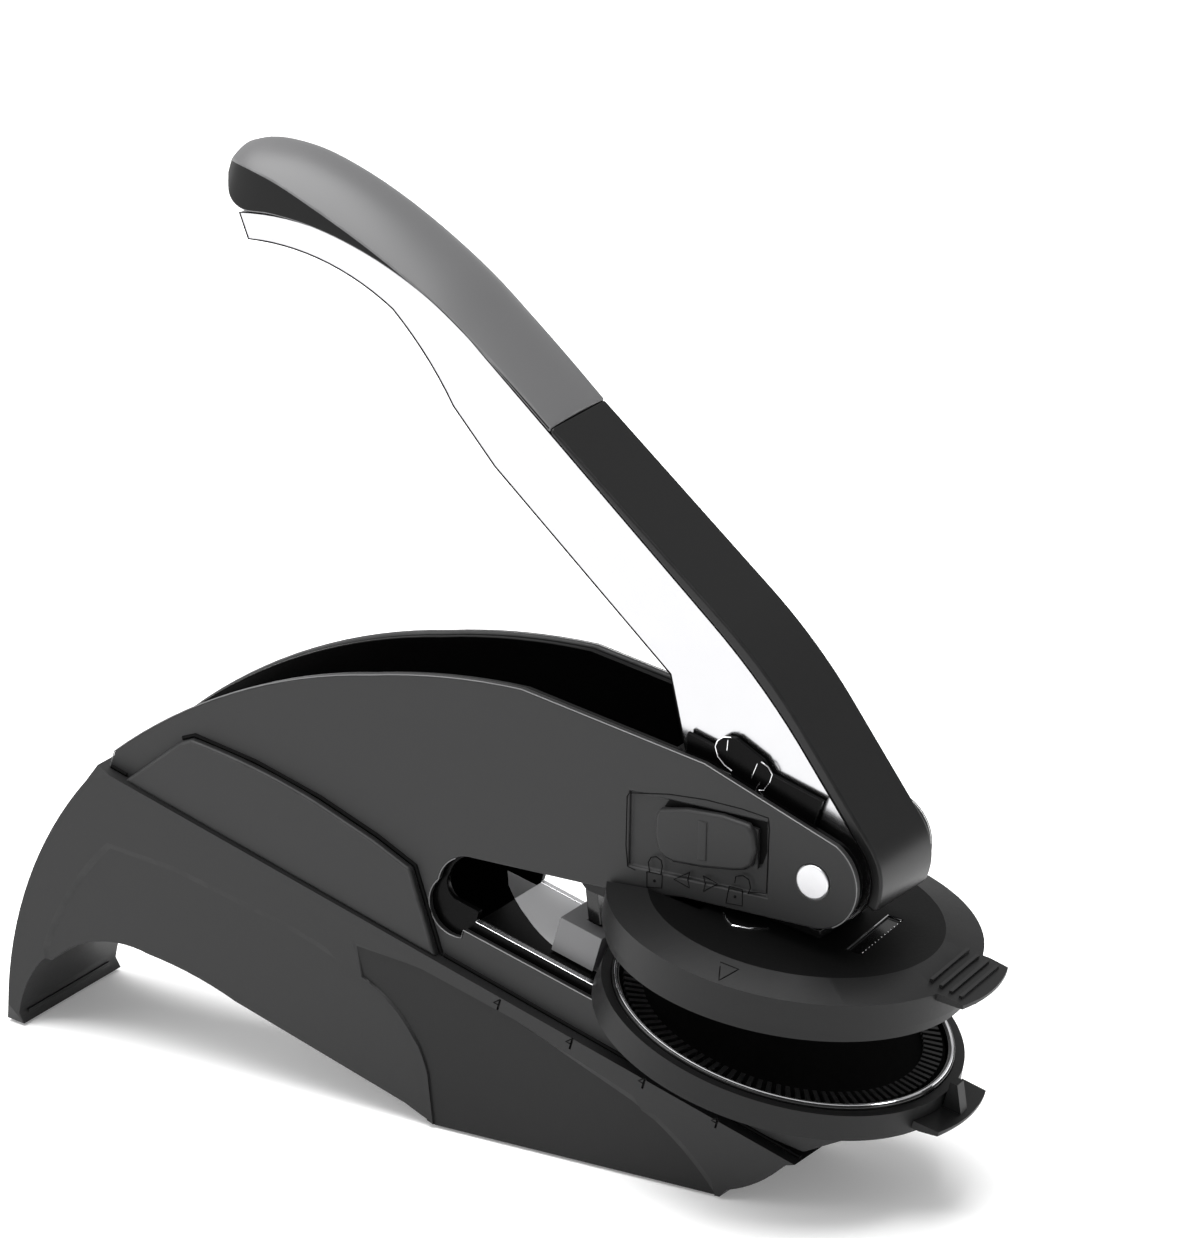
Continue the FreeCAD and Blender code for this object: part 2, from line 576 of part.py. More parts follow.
grip = new_body("lever_grip", die_place)
sections = []
for along, foot, top, wide, crown in GRIP_STATION_SHARES:
    half = wide * size("gripWidth") / 2
    low, high = pin[1] + foot * size("leverRise"), pin[1] + top * size("leverRise")
    section = [(-half, low), (half, low), (half, high), (0, high + crown * size("gripCrown"), -half, high)]
    sections.append(sketch(grip, "YZ_Plane", [section], f"sizes.pinAhead + {along} * sizes.leverReach"))
loft = grip.newObject("PartDesign::AdditiveLoft", "lever_grip_loft")
loft.Profile = sections[0]
loft.Sections = sections[1:]
loft.Ruled = True

bush = prism("lever_bush", die_place, [ring(size("pinRadius") * 1.54, *pin)],
             "sizes.leverWidth - 2 * sizes.leverWall")
cut(bush, [ring(size("pinRadius") + size("runGap"), *pin)])

# Press block under the cam, its shoe on the upper holder, and the return spring
block_half = size("blockLong") / 2
block_x = pin_x - size("blockBack")
block_top = pin_z - size("camStart") - size("slideGap")
shoe = size("shoeThick")
shoe_low = open_z + size("crownRise") / math.cos(lean) + size("slideGap")
shoe_rear = block_x - block_half - shoe / 2
shoe_front = pin_x - size("shoeAhead")


def shoe_under(x):
    """Underside of the shoe: flat on the open holder in front, on the closed one behind."""
    slope = math.tan(lean) if x > open_x else math.tan(tau)
    return shoe_low - (x - open_x) * slope


shelf_under = pin_z - size("seatUnder") + size("springRoom")
shelf_top = shelf_under + size("shelfThick")
spring_x = pin_x - size("springBack")
shelf_rear = spring_x - size("seatLong") / 2
block_rear, block_front = block_x - block_half, block_x + block_half
press = prism("press_block", world_place,
              [[(block_rear, shoe_under(block_rear) + shoe), (block_front, shoe_under(block_front) + shoe),
                (block_front, block_top), (block_rear, block_top)]], "sizes.blockWidth")
extrude(press, "Pad", sketch(press, "XZ_Plane", [[
    (block_rear, block_top - size("shelfThick")), (block_front, block_top - size("shelfThick")),
    (block_front, shelf_top), (shelf_rear, shelf_top), (shelf_rear, shelf_under),
    (block_rear, shelf_under)]]), "sizes.columnWidth", True)
shoe_path = [(x, shoe_under(x)) for x in (shoe_rear, open_x, shoe_front)]
shoe_path += [(x, shoe_under(x) + shoe) for x in (shoe_front, open_x, shoe_rear)]
prism("press_shoe", world_place, [shoe_path], "sizes.blockWidth")
seat_top = pin_z - size("seatUnder")
prism("spring_seat", world_place,
      [box(spring_x - size("seatLong") / 2, seat_top - size("seatThick"),
           spring_x + size("seatLong") / 2, seat_top)], "sizes.innerWidth")


def helix_point(turn, radius, low, pitch):
    """Place and unit tangent on the spring's line after some turns."""
    angle = 2 * math.pi * turn
    place = Vector(radius * math.cos(angle), radius * math.sin(angle), low + pitch * turn)
    heading = Vector(-radius * math.sin(angle), radius * math.cos(angle), pitch / (2 * math.pi))
    return place, heading.normalize()


def tangent_arc(start, corner, end):
    """The arc that leaves start towards corner and arrives at end."""
    chord = (start + end) * 0.5
    rise = (corner - chord).Length
    half = (end - start).Length / 2
    bulge = half * math.tan(math.atan2(rise, half) / 2)
    return Part.Arc(start, chord + (corner - chord).normalize() * bulge, end).toShape()


wire = size("springWire")
spring_radius = size("springRadius")
spring_low = wire / 2
spring_pitch = (size("springRoom") - wire) / SPRING_TURNS
arcs = []
for quarter in range(4 * SPRING_TURNS):
    start, leaving = helix_point(quarter / 4, spring_radius, spring_low, spring_pitch)
    end, arriving = helix_point((quarter + 1) / 4, spring_radius, spring_low, spring_pitch)
    across = end - start
    both = leaving + arriving
    spread = 2 * (1 - leaving.dot(arriving))
    reach = (-across.dot(both) + math.sqrt(across.dot(both) ** 2 + spread * across.dot(across))) / spread
    first = start + leaving * reach
    second = end - arriving * reach
    middle = (first + second) * 0.5
    arcs += [tangent_arc(start, first, middle), tangent_arc(middle, second, end)]
place, heading = helix_point(0, spring_radius, spring_low, spring_pitch)
profile = Part.Wire(Part.makeCircle(wire / 2, place, heading))
coil = Part.BRepOffsetAPI.MakePipeShell(Part.Wire(arcs))
coil.add(profile)
coil.build()
coil.makeSolid()
spring_place = FreeCAD.Placement(Vector(origin_x + spring_x, 0, seat_top), FreeCAD.Rotation())
feature_of("return_spring", coil.shape(), spring_place)
samples = [helix_point(step / 36, spring_radius, spring_low, spring_pitch)[0]
           for step in range(36 * SPRING_TURNS + 1)]
least = min((samples[one] - samples[other]).Length
            for one in range(len(samples)) for other in range(one + 18, len(samples)))
print("return spring: least gap to itself", round(least - wire, 2), "mm")

# Lower half of the die insert
floor_top = -size("holderFoot") + size("holderFloor")
top_radius = size("holderRadius")
foot_radius = top_radius + size("holderFlare")
ring_outer = top_radius - size("rimWide")
ring_inner = ring_outer - size("ringWide")
wall_inner = ring_outer + size("fitGap") / 2
lower = turned("lower_holder", die_place,
               [(0, -size("holderFoot")), (top_radius - size("footInset"), -size("holderFoot")),
                (foot_radius, -size("holderWall")), (top_radius, 0), (wall_inner, 0),
                (wall_inner, floor_top), (0, floor_top)])


def tab_path(root_radius, half, tip):
    """A tab seen from above: rooted on a circle, its end a shallow arc."""
    root = math.sqrt(root_radius ** 2 - half ** 2)
    end_half = half * 0.98
    corner = tip - half * (TIP_ROUND - math.sqrt(TIP_ROUND ** 2 - 0.98 ** 2))
    return [(root, -half), (corner, -end_half), (tip, 0, corner, end_half), (root, half),
            (root_radius, 0, root, -half)]


tab_tip = top_radius + size("tabOut")
tab_top, tab_low = -size("tabDown"), -size("tabDown") - size("tabThick")
tab_root = top_radius - size("holderFlare") * tab_low / size("holderWall")
tab = new_body("lower_tab", die_place)
flat(tab, "Pad", [swing(tab_path(tab_root, size("tabHalf"), tab_tip))],
     "-sizes.tabDown - sizes.tabThick", "sizes.tabThick")
extrude(tab, "Pocket", swung_sketch(tab, [
    (tab_root, tab_low - size("tabThick")), (tab_tip, tab_low - size("tabThick")),
    (tab_tip, tab_top - size("tabTip")), (tab_root, tab_low)]), "3 * sizes.tabHalf", True)
key_foot = tab_tip - size("keyLong") * 0.6
key = [(tab_root, tab_low), (key_foot, tab_top - size("tabTip")), (key_foot, tab_top),
       (top_radius + size("keyLong"), size("keyRise")), (tab_root, size("keyRise"))]
extrude(tab, "Pad", swung_sketch(tab, key), "sizes.keyWide", True)

# Strap that carries the upper half: its line runs from the open to the closed hinge place
cos_open, sin_open = math.cos(open_tilt), math.sin(open_tilt)
hinge_open = (-size("openBack") - hinge_back * cos_open + size("hingeDown") * sin_open,
              size("openTop") - hinge_back * sin_open - size("hingeDown") * cos_open)
hinge_shut = (-hinge_back, size("closedGap") + size("upperHigh") - size("hingeDown"))
strap_drop = hinge_open[1] - hinge_shut[1]
strap_travel = math.dist(hinge_open, hinge_shut)
down = ((hinge_shut[0] - hinge_open[0]) / strap_travel, (hinge_shut[1] - hinge_open[1]) / strap_travel)


def along_strap(length, aside):
    """A point down the strap's line from the open hinge, aside towards the front."""
    return (hinge_open[0] + down[0] * length - down[1] * aside,
            hinge_open[1] + down[1] * length + down[0] * aside)


strap_front = size("strapThick") / 2 - size("strapBehind")
strap_rear = -size("strapThick") / 2 - size("strapBehind")
strap_foot = strap_drop - size("holderFoot") + size("fitGap")
strap_end = (hinge_open[1] + down[0] * strap_rear - strap_foot) / -down[1]
guide_rear = hinge_open[0] - size("guideBack")
guide_block = prism("strap_guide", die_place,
                    [box(guide_rear, -size("holderFoot"), -foot_radius, size("guideRise"))], "sizes.guideWidth")
gap = size("fitGap")
slot = [along_strap(0, strap_front + gap), along_strap(strap_end * 2, strap_front + gap),
        along_strap(strap_end * 2, strap_rear - gap), along_strap(0, strap_rear - gap)]
cut(lower, [slot], "sizes.strapWidth + 2 * sizes.fitGap")
cut(guide_block, [slot], "sizes.strapWidth + 2 * sizes.fitGap")
lower_ring = turned("lower_ring", die_place,
                    [(ring_inner, floor_top), (ring_outer, floor_top),
                     (ring_outer, size("ringProud")), (ring_inner, size("ringProud"))])
die_radius = ring_inner - size("fitGap")
lower_die = turned("lower_die", die_place,
                   [(0, floor_top), (die_radius, floor_top), (die_radius, -size("dieTop")), (0, -size("dieTop"))])
teeth = []
for number in range(TOOTH_COUNT):
    angle = 2 * math.pi * number / TOOTH_COUNT
    spread = math.pi / TOOTH_COUNT / 2
    outer = die_radius - size("dieTooth")
    inner = outer - size("toothLong")
    corners = [(inner, -spread), (outer, -spread), (outer, spread), (inner, spread)]
    teeth.append([(reach * math.cos(angle + turn), reach * math.sin(angle + turn)) for reach, turn in corners])
flat(lower_die, "Pad", teeth, "-sizes.dieTop", "sizes.dieTooth")

strap = prism("insert_strap", die_place,
              [[along_strap(0, strap_front), along_strap(strap_end, strap_front),
                along_strap(strap_end, strap_rear), along_strap(-size("barrelRadius"), strap_rear),
                along_strap(-size("barrelRadius"), strap_front)]], "sizes.strapWidth")
extrude(strap, "Pad", sketch(strap, "XZ_Plane", [ring(size("barrelRadius"), *hinge_open)]),
        "sizes.strapWidth", True)
cut(strap, [ring(size("hingeRadius") + size("runGap") / 2, *hinge_open)])
prism("insert_pin", die_place, [ring(size("hingeRadius"), *hinge_open)],
      "sizes.strapWidth + 2 * sizes.lugWide + 2 * sizes.fitGap")

# Upper half of the die insert, drawn square to its own top: a cap with the tab, a holder and its die
upper_foot = -size("upperHigh")
skirt_radius = size("upperRadius") - size("skirtInset")
hollow_radius = skirt_radius - size("upperWall")
skirt_top = upper_foot + size("upperSkirt")
crown = size("crownRise")
upper = turned("upper_holder", open_place,
               [(0, -size("upperRoof")), (hollow_radius, -size("upperRoof")), (hollow_radius, upper_foot),
                (skirt_radius, upper_foot), (skirt_radius, skirt_top), (size("upperRadius"), skirt_top),
                (size("upperRadius"), -size("reliefDeep")), (0, -size("reliefDeep"))])
cap = turned("upper_cap", open_place,
             [(0, -size("reliefDeep")), (size("upperRadius"), -size("reliefDeep")), (size("upperRadius"), 0),
              (crown_radius, crown), (0, crown)])
flat(cap, "Pad", [swing(tab_path(crown_radius, size("upperTabHalf"), upper_reach))],
     "-sizes.upperTabThick", "sizes.upperTabThick")
extrude(cap, "Pocket", swung_sketch(cap, [
    (size("upperRadius"), 0), (upper_reach, -tab_fall), (upper_reach, crown), (size("upperRadius"), crown)]),
    "3 * sizes.upperTabHalf", True)
lip_rear, lip_front = size("upperRadius") + size("fitGap"), upper_reach - size("upperTabThick")
extrude(cap, "Pad", swung_sketch(cap, [
    (lip_rear, -2 * size("upperTabThick")), (lip_front, -2 * size("upperTabThick")),
    (lip_front, -size("upperTabThick") / 2), (lip_rear, -size("upperTabThick") / 2)]), "sizes.lipWide", True)


def cone_height(radius):
    """Height of the cap's rim, or of the tab beyond it, over the upper holder's side."""
    if radius < size("upperRadius"):
        return (size("upperRadius") - radius) * crown_slope
    return (size("upperRadius") - radius) * tab_fall / size("upperTabOut")


rib_wide = size("gripRibPitch") / 3
for number in range(GRIP_RIBS):
    rib = upper_reach - size("gripRibPitch") * (number + 1.4)
    rib_z = cone_height(rib)
    bar = [(rib - rib_wide / 2, rib_z - size("gripRibHigh")), (rib + rib_wide / 2, rib_z - size("gripRibHigh")),
           (rib + rib_wide / 2, rib_z + size("gripRibHigh")), (rib - rib_wide / 2, rib_z + size("gripRibHigh"))]
    extrude(cap, "Pad", swung_sketch(cap, bar), "sizes.gripRibLong", True)
slot_half = size("slotLong") / 2
slot_mid, slot_side = size("slotAhead"), size("slotWide") / 2
flat(cap, "Pocket", [swing(box(slot_mid - slot_side, -slot_half, slot_mid + slot_side, slot_half))],
     "sizes.crownRise - sizes.slotDeep", "sizes.slotDeep + sizes.overrun")
relief_half = cover_half + size("steelInset") * 2
flat(cap, "Pocket", [box(-size("upperRadius") - size("overrun"), -relief_half,
                         -size("reliefBack"), relief_half)],
     "-sizes.reliefDeep - sizes.overrun", "sizes.reliefDeep + sizes.crownRise + 2 * sizes.overrun")
lug_far = "sizes.strapWidth / 2 + sizes.fitGap + sizes.lugWide"
lug_radius = size("barrelRadius") + size("slideGap")
lug_low = -size("hingeDown") - lug_radius
lug_path = [(-hollow_radius - size("upperWall") / 2, lug_low), (-hinge_back, lug_low),
            (-hinge_back - lug_radius, -size("hingeDown"), -hinge_back, lug_low + 2 * lug_radius),
            (-hollow_radius - size("upperWall") / 2, lug_low + 2 * lug_radius)]
for side in (lug_far, "-sizes.strapWidth / 2 - sizes.fitGap"):
    extrude(upper, "Pad", sketch(upper, "XZ_Plane", [lug_path], "-(" + side + ")"), "sizes.lugWide")
cut(upper, [ring(size("hingeRadius") + size("runGap"), -hinge_back, -size("hingeDown"))])
cut(upper, [box(-hinge_back - lug_radius, lug_low - size("overrun"),
                -hinge_back + lug_radius + size("fitGap"), size("overrun"))],
    "sizes.strapWidth + 2 * sizes.fitGap")
turned("upper_die", open_place,
       [(0, upper_foot), (hollow_radius - gap, upper_foot), (hollow_radius - gap, -size("upperRoof")),
        (0, -size("upperRoof"))])

# Lock: button in a recess of the near cover, latch bar inside the frame
lock_x, lock_z = pin_x - size("lockBack"), pin_z + size("lockOver")
cover_near = "sizes.innerWidth / 2 + sizes.steelThick + sizes.coverThick"


def world_cut(body, path, length, far_face):
    """A cut in a die-frame body whose outline lies square to the desk."""
    cut(body, [[die_of(x, z) for x, z in path]], length, far_face)


half_long, half_high = size("frameLong") / 2, size("frameHigh") / 2
world_cut(near_cover, box(lock_x - half_long, lock_z - half_high, lock_x + half_long, lock_z + half_high),
          "sizes.recessDeep + sizes.overrun", f"-({cover_near}) + sizes.recessDeep")
button_front = lock_x + half_long - size("recessDeep") * 2.5
button_rear = button_front - size("lockLong")
button_x = (button_front + button_rear) / 2
button_z = lock_z + size("lockOver") * 0.8
button_half = size("lockHigh") / 2
post_half, post_high = size("postLong") / 2, size("postHigh") / 2
post_x = button_x
slot_path = box(post_x - post_half - size("lockTravel") - size("fitGap"), button_z - post_high - size("fitGap"),
                post_x + post_half + size("fitGap"), button_z + post_high + size("fitGap"))
world_cut(near_cover, slot_path, "sizes.coverThick + sizes.overrun", "-sizes.innerWidth / 2 - sizes.steelThick")
world_cut(near_steel, slot_path, "sizes.steelThick + 2 * sizes.overrun", "-sizes.innerWidth / 2 + sizes.overrun")
bow = button_half * 0.86
button = prism("lock_button", world_place,
               [[(button_rear, button_z - bow), (button_x, button_z - button_half, button_front, button_z - bow),
                 (button_front, button_z + bow), (button_x, button_z + button_half, button_rear, button_z + bow)]],
               "sizes.recessDeep + sizes.lockProud - sizes.fitGap",
               f"-({cover_near}) + sizes.recessDeep - sizes.fitGap")
latch_face = "-sizes.innerWidth / 2 + sizes.fitGap / 2"
extrude(button, "Pad", sketch(button, "XZ_Plane", [box(post_x - post_half, button_z - post_high,
                                                        post_x + post_half, button_z + post_high)],
                              f"-({latch_face})"),
        "sizes.steelThick + sizes.coverThick - sizes.recessDeep + 2 * sizes.fitGap")
prism("latch_bar", world_place,
      [scaled(LATCH_SHARES, size("latchReach"), size("latchRise"), pin_x - size("latchBack"), pin_z)],
      "sizes.latchThick", latch_face + " + sizes.latchThick")

doc.recompute()
faults = [item.Label for item in doc.Objects if {"Invalid", "Error"} & set(item.State)]
pieces = [item for item in doc.Objects if item.TypeId in ("PartDesign::Body", "Part::Feature")]
faults += [item.Label for item in pieces if item.Shape.isNull() or not item.Shape.isValid()]
if faults:
    raise SystemExit("faults in " + ", ".join(sorted(set(faults))))
os.makedirs("parts", exist_ok=True)
for item in pieces:
    item.Shape.exportStep(f"parts/{item.Label}.step")
print(len(pieces), "pieces written")
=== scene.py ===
import bpy
import bmesh
import math
from mathutils import Matrix, Vector


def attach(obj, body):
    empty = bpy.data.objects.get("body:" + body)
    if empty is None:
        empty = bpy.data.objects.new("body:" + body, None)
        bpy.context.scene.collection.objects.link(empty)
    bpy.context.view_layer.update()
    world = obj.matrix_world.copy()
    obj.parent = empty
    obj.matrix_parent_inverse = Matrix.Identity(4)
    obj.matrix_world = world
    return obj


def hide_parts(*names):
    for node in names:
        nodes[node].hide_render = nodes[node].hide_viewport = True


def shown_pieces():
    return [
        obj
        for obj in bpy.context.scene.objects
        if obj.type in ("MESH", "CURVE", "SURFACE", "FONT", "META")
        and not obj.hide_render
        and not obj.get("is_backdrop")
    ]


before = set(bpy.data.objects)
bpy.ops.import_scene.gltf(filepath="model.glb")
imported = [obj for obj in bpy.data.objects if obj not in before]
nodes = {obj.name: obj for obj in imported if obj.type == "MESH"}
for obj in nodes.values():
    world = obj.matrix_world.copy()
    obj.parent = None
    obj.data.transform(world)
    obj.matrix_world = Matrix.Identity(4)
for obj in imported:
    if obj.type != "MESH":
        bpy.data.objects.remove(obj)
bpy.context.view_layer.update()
mm = 0.001
print("frame loaded:", len(nodes), "solids")

# Where things are, in mm and degrees, as in the CAD source
press = {
    "centreX": 46.3915,      # die centre from the middle of the model
    "dieHeight": 25.2,
    "jawAngle": 15.4,
    "openTilt": 6.5,
    "openBack": 2.5,
    "openTop": 15.1,
    "insertTurn": 4.5,
    "pin": (3.1, 27.8),      # in the die's own frame
    "coverFace": 11.0,       # outside of the side covers
    "baseHalf": 13.2,
}
jawCos, jawSin = math.cos(math.radians(press["jawAngle"])), math.sin(math.radians(press["jawAngle"]))


def deskPoint(x, y, z):      # square to the desk, x from the die centre
    return Vector(((x + press["centreX"]) * mm, y * mm, z * mm))


def diePoint(x, y, z):       # square to the lower die
    return deskPoint(x * jawCos + z * jawSin, y, press["dieHeight"] - x * jawSin + z * jawCos)


def topPoint(x, y, z):       # square to the open upper holder
    tilt = math.radians(press["openTilt"])
    along = x * math.cos(tilt) - z * math.sin(tilt) - press["openBack"]
    high = x * math.sin(tilt) + z * math.cos(tilt) + press["openTop"]
    return diePoint(along, y, high)


def dieFrame(point):         # x and z in the lower die's own frame
    x, z = point.x / mm - press["centreX"], point.z / mm - press["dieHeight"]
    return x * jawCos - z * jawSin, x * jawSin + z * jawCos


def fromDie(point):          # x from the die centre, square to the desk
    return point.x / mm - press["centreX"]


def swung(x, y):             # turned with the die insert
    turn = math.radians(press["insertTurn"])
    return x * math.cos(turn) - y * math.sin(turn), x * math.sin(turn) + y * math.cos(turn)


# Camera at the photograph's angle
photoCamera = {"azimuth": 30.13, "elevation": 20.43, "roll": 1.04, "distance": 1547.11,
               "aim": (-31.59, 0.0, 78.89), "focal": 10806.41, "imageHeight": 1238}


def makeCamera(look):
    az, el = math.radians(look["azimuth"]), math.radians(look["elevation"])
    back = Vector((math.sin(az) * math.cos(el), -math.cos(az) * math.cos(el), math.sin(el)))
    flatRight = Vector((math.cos(az), math.sin(az), 0))
    flatUp = back.cross(flatRight)
    roll = math.radians(look["roll"])
    right = flatRight * math.cos(roll) + flatUp * math.sin(roll)
    up = flatUp * math.cos(roll) - flatRight * math.sin(roll)
    lens = bpy.data.cameras.new("photoCamera")
    lens.sensor_width = 36
    lens.lens = 36 * look["focal"] / look["imageHeight"]
    lens.clip_start, lens.clip_end = 0.05, 30
    camera = bpy.data.objects.new("photoCamera", lens)
    bpy.context.scene.collection.objects.link(camera)
    place = deskPoint(*look["aim"]) + back * look["distance"] * mm
    camera.matrix_world = Matrix.Translation(place) @ Matrix((right, up, back)).transposed().to_4x4()
    bpy.context.scene.camera = camera


makeCamera(photoCamera)
print("camera placed")

# Studio: a pale floor, a pale room that darkens to the right, and large soft lights
studio = {"roomMiddle": 0.58, "roomSwing": 0.30, "lightSide": (-0.80, -0.50, 0.33),
          "floor": 0.93, "floorGlow": 0.16, "floorSize": 12.0,
          "softboxes": [   # name, place, aim, width, height, watts
              ("topBox", (-0.25, -0.10, 1.60), (0.0, 0.0, 0.0), 1.8, 1.4, 46.0),
              ("leftBox", (-0.55, -0.50, 0.34), (-0.03, 0.0, 0.04), 0.45, 0.35, 1.5),
              ("hubBox", (1.20, 0.35, 0.30), (0.05, 0.0, 0.05), 0.25, 0.35, 1.6),
          ]}


def makeStudio(look):
    room = bpy.data.worlds.new("paleRoom")
    room.use_nodes = True
    tree = room.node_tree
    looking = tree.nodes.new("ShaderNodeTexCoord")
    along = tree.nodes.new("ShaderNodeVectorMath")
    along.operation = "DOT_PRODUCT"
    along.inputs[1].default_value = look["lightSide"]
    swing = tree.nodes.new("ShaderNodeMath")
    swing.operation = "MULTIPLY_ADD"
    swing.inputs[1].default_value = look["roomSwing"]
    swing.inputs[2].default_value = look["roomMiddle"]
    tree.links.new(looking.outputs["Generated"], along.inputs[0])
    tree.links.new(along.outputs["Value"], swing.inputs[0])
    tree.links.new(swing.outputs[0], tree.nodes["Background"].inputs["Strength"])
    tree.nodes["Background"].inputs["Color"].default_value = (1, 1, 1, 1)
    bpy.context.scene.world = room
    ground = bmesh.new()
    bmesh.ops.create_grid(ground, x_segments=1, y_segments=1, size=look["floorSize"] / 2)
    mesh = bpy.data.meshes.new("studioFloor")
    ground.to_mesh(mesh)
    floor = bpy.data.objects.new("studioFloor", mesh)
    bpy.context.scene.collection.objects.link(floor)
    paint = bpy.data.materials.new("paleFloor")
    paint.use_nodes = True
    shader = paint.node_tree.nodes["Principled BSDF"]
    shader.inputs["Base Color"].default_value = (look["floor"], look["floor"], look["floor"], 1)
    shader.inputs["Roughness"].default_value = 0.75
    shader.inputs["Specular IOR Level"].default_value = 0.2
    shader.inputs["Emission Color"].default_value = (1, 1, 1, 1)
    shader.inputs["Emission Strength"].default_value = look["floorGlow"]
    mesh.materials.append(paint)
    floor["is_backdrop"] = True
    for name, place, aim, wide, high, watts in look["softboxes"]:
        lamp = bpy.data.lights.new(name, "AREA")
        lamp.shape = "RECTANGLE"
        lamp.size, lamp.size_y, lamp.energy = wide, high, watts
        box = bpy.data.objects.new(name, lamp)
        bpy.context.scene.collection.objects.link(box)
        turn = (Vector(place) - Vector(aim)).to_track_quat("Z", "Y")
        box.matrix_world = Matrix.Translation(place) @ turn.to_matrix().to_4x4()
    bpy.context.scene.view_settings.view_transform = "Standard"


makeStudio(studio)
print("studio lit")


# Shared surface effects
def newGroup(name, inputs, outputs):
    group = bpy.data.node_groups.new(name, "ShaderNodeTree")
    for label, kind, value in inputs:
        socket = group.interface.new_socket(name=label, in_out="INPUT", socket_type="NodeSocket" + kind)
        socket.default_value = value
    for label, kind in outputs:
        group.interface.new_socket(name=label, in_out="OUTPUT", socket_type="NodeSocket" + kind)
    return group, group.nodes.new("NodeGroupInput"), group.nodes.new("NodeGroupOutput")


def addNode(tree, kind, settings=None, **links):
    node = tree.nodes.new("ShaderNode" + kind)
    for key, value in (settings or {}).items():
        setattr(node, key, value)
    for label, source in links.items():
        numbered = label[0] == "i" and label[1:].isdigit()
        socket = node.inputs[int(label[1:]) if numbered else label]
        if isinstance(source, bpy.types.NodeSocket):
            tree.links.new(source, socket)
        else:
            socket.default_value = source
    return node


def surfacePoint(tree):
    return addNode(tree, "TexCoord").outputs["Object"]


def shiftedBy(tree, noise, middle, spread):   # middle + (noise - 0.5) * spread
    off = addNode(tree, "Math", {"operation": "SUBTRACT"}, i0=noise, i1=0.5)
    part = addNode(tree, "Math", {"operation": "MULTIPLY"}, i0=off.outputs[0], i1=spread)
    total = addNode(tree, "Math", {"operation": "ADD", "use_clamp": True}, i0=part.outputs[0], i1=middle)
    return total.outputs[0]


def buildMouldGrain():
    group, start, end = newGroup("mouldGrain", [
        ("Colour", "Color", (0.04, 0.04, 0.04, 1)), ("Shade", "Float", 0.1), ("Grain Size", "Float", 2500),
        ("Grain Depth", "Float", 0.1), ("Roughness", "Float", 0.45), ("Spread", "Float", 0.1)],
        [("Colour", "Color"), ("Roughness", "Float"), ("Normal", "Vector")])
    place = surfacePoint(group)
    fine = addNode(group, "TexNoise", Vector=place, Scale=start.outputs["Grain Size"], Detail=4.0,
                   Roughness=0.6)
    broad = addNode(group, "TexNoise", Vector=place, Scale=38.0, Detail=3.0, Roughness=0.55)
    tone = shiftedBy(group, broad.outputs["Fac"], 1.0, start.outputs["Shade"])
    group.nodes[-1].use_clamp = False
    colour = addNode(group, "HueSaturation", Value=tone, Color=start.outputs["Colour"])
    rough = shiftedBy(group, fine.outputs["Fac"], start.outputs["Roughness"], start.outputs["Spread"])
    rough = shiftedBy(group, broad.outputs["Fac"], rough, start.outputs["Spread"])
    bump = addNode(group, "Bump", Height=fine.outputs["Fac"], Strength=start.outputs["Grain Depth"],
                   Distance=0.0001)
    group.links.new(colour.outputs["Color"], end.inputs["Colour"])
    group.links.new(rough, end.inputs["Roughness"])
    group.links.new(bump.outputs["Normal"], end.inputs["Normal"])
    return group


def buildEdgeWear():
    group, start, end = newGroup("edgeWear", [
        ("Colour", "Color", (0.04, 0.04, 0.04, 1)), ("Worn Colour", "Color", (0.12, 0.12, 0.12, 1)),
        ("Amount", "Float", 0.5), ("Patch Size", "Float", 260.0)], [("Colour", "Color"), ("Mask", "Float")])
    place = surfacePoint(group)
    patches = addNode(group, "TexNoise", Vector=place, Scale=start.outputs["Patch Size"], Detail=5.0,
                      Roughness=0.65)
    ramp = addNode(group, "MapRange", i0=patches.outputs["Fac"], i1=0.35, i2=0.7)
    mask = addNode(group, "Math", {"operation": "MULTIPLY"}, i0=ramp.outputs[0], i1=start.outputs["Amount"])
    mix = addNode(group, "MixRGB", Fac=mask.outputs[0], Color1=start.outputs["Colour"],
                  Color2=start.outputs["Worn Colour"])
    group.links.new(mix.outputs["Color"], end.inputs["Colour"])
    group.links.new(mask.outputs[0], end.inputs["Mask"])
    return group


def buildBrushLines():
    group, start, end = newGroup("brushLines", [
        ("Stretch", "Vector", (1, 1, 1)), ("Line Size", "Float", 3000.0), ("Depth", "Float", 0.1),
        ("Roughness", "Float", 0.2), ("Spread", "Float", 0.1)],
        [("Roughness", "Float"), ("Normal", "Vector")])
    place = addNode(group, "VectorMath", {"operation": "MULTIPLY"}, i0=surfacePoint(group),
                    i1=start.outputs["Stretch"])
    lines = addNode(group, "TexNoise", Vector=place.outputs[0], Scale=start.outputs["Line Size"], Detail=3.0,
                    Roughness=0.5)
    rough = shiftedBy(group, lines.outputs["Fac"], start.outputs["Roughness"], start.outputs["Spread"])
    bump = addNode(group, "Bump", Height=lines.outputs["Fac"], Strength=start.outputs["Depth"],
                   Distance=0.00005)
    group.links.new(rough, end.inputs["Roughness"])
    group.links.new(bump.outputs["Normal"], end.inputs["Normal"])
    return group


mouldGrain, edgeWear, brushLines = buildMouldGrain(), buildEdgeWear(), buildBrushLines()


def useGroup(tree, group, **values):
    node = tree.nodes.new("ShaderNodeGroup")
    node.node_tree = group
    for label, value in values.items():
        node.inputs[label.replace("_", " ")].default_value = value
    return node


def grey(value):
    return (value, value, value * 1.02, 1)


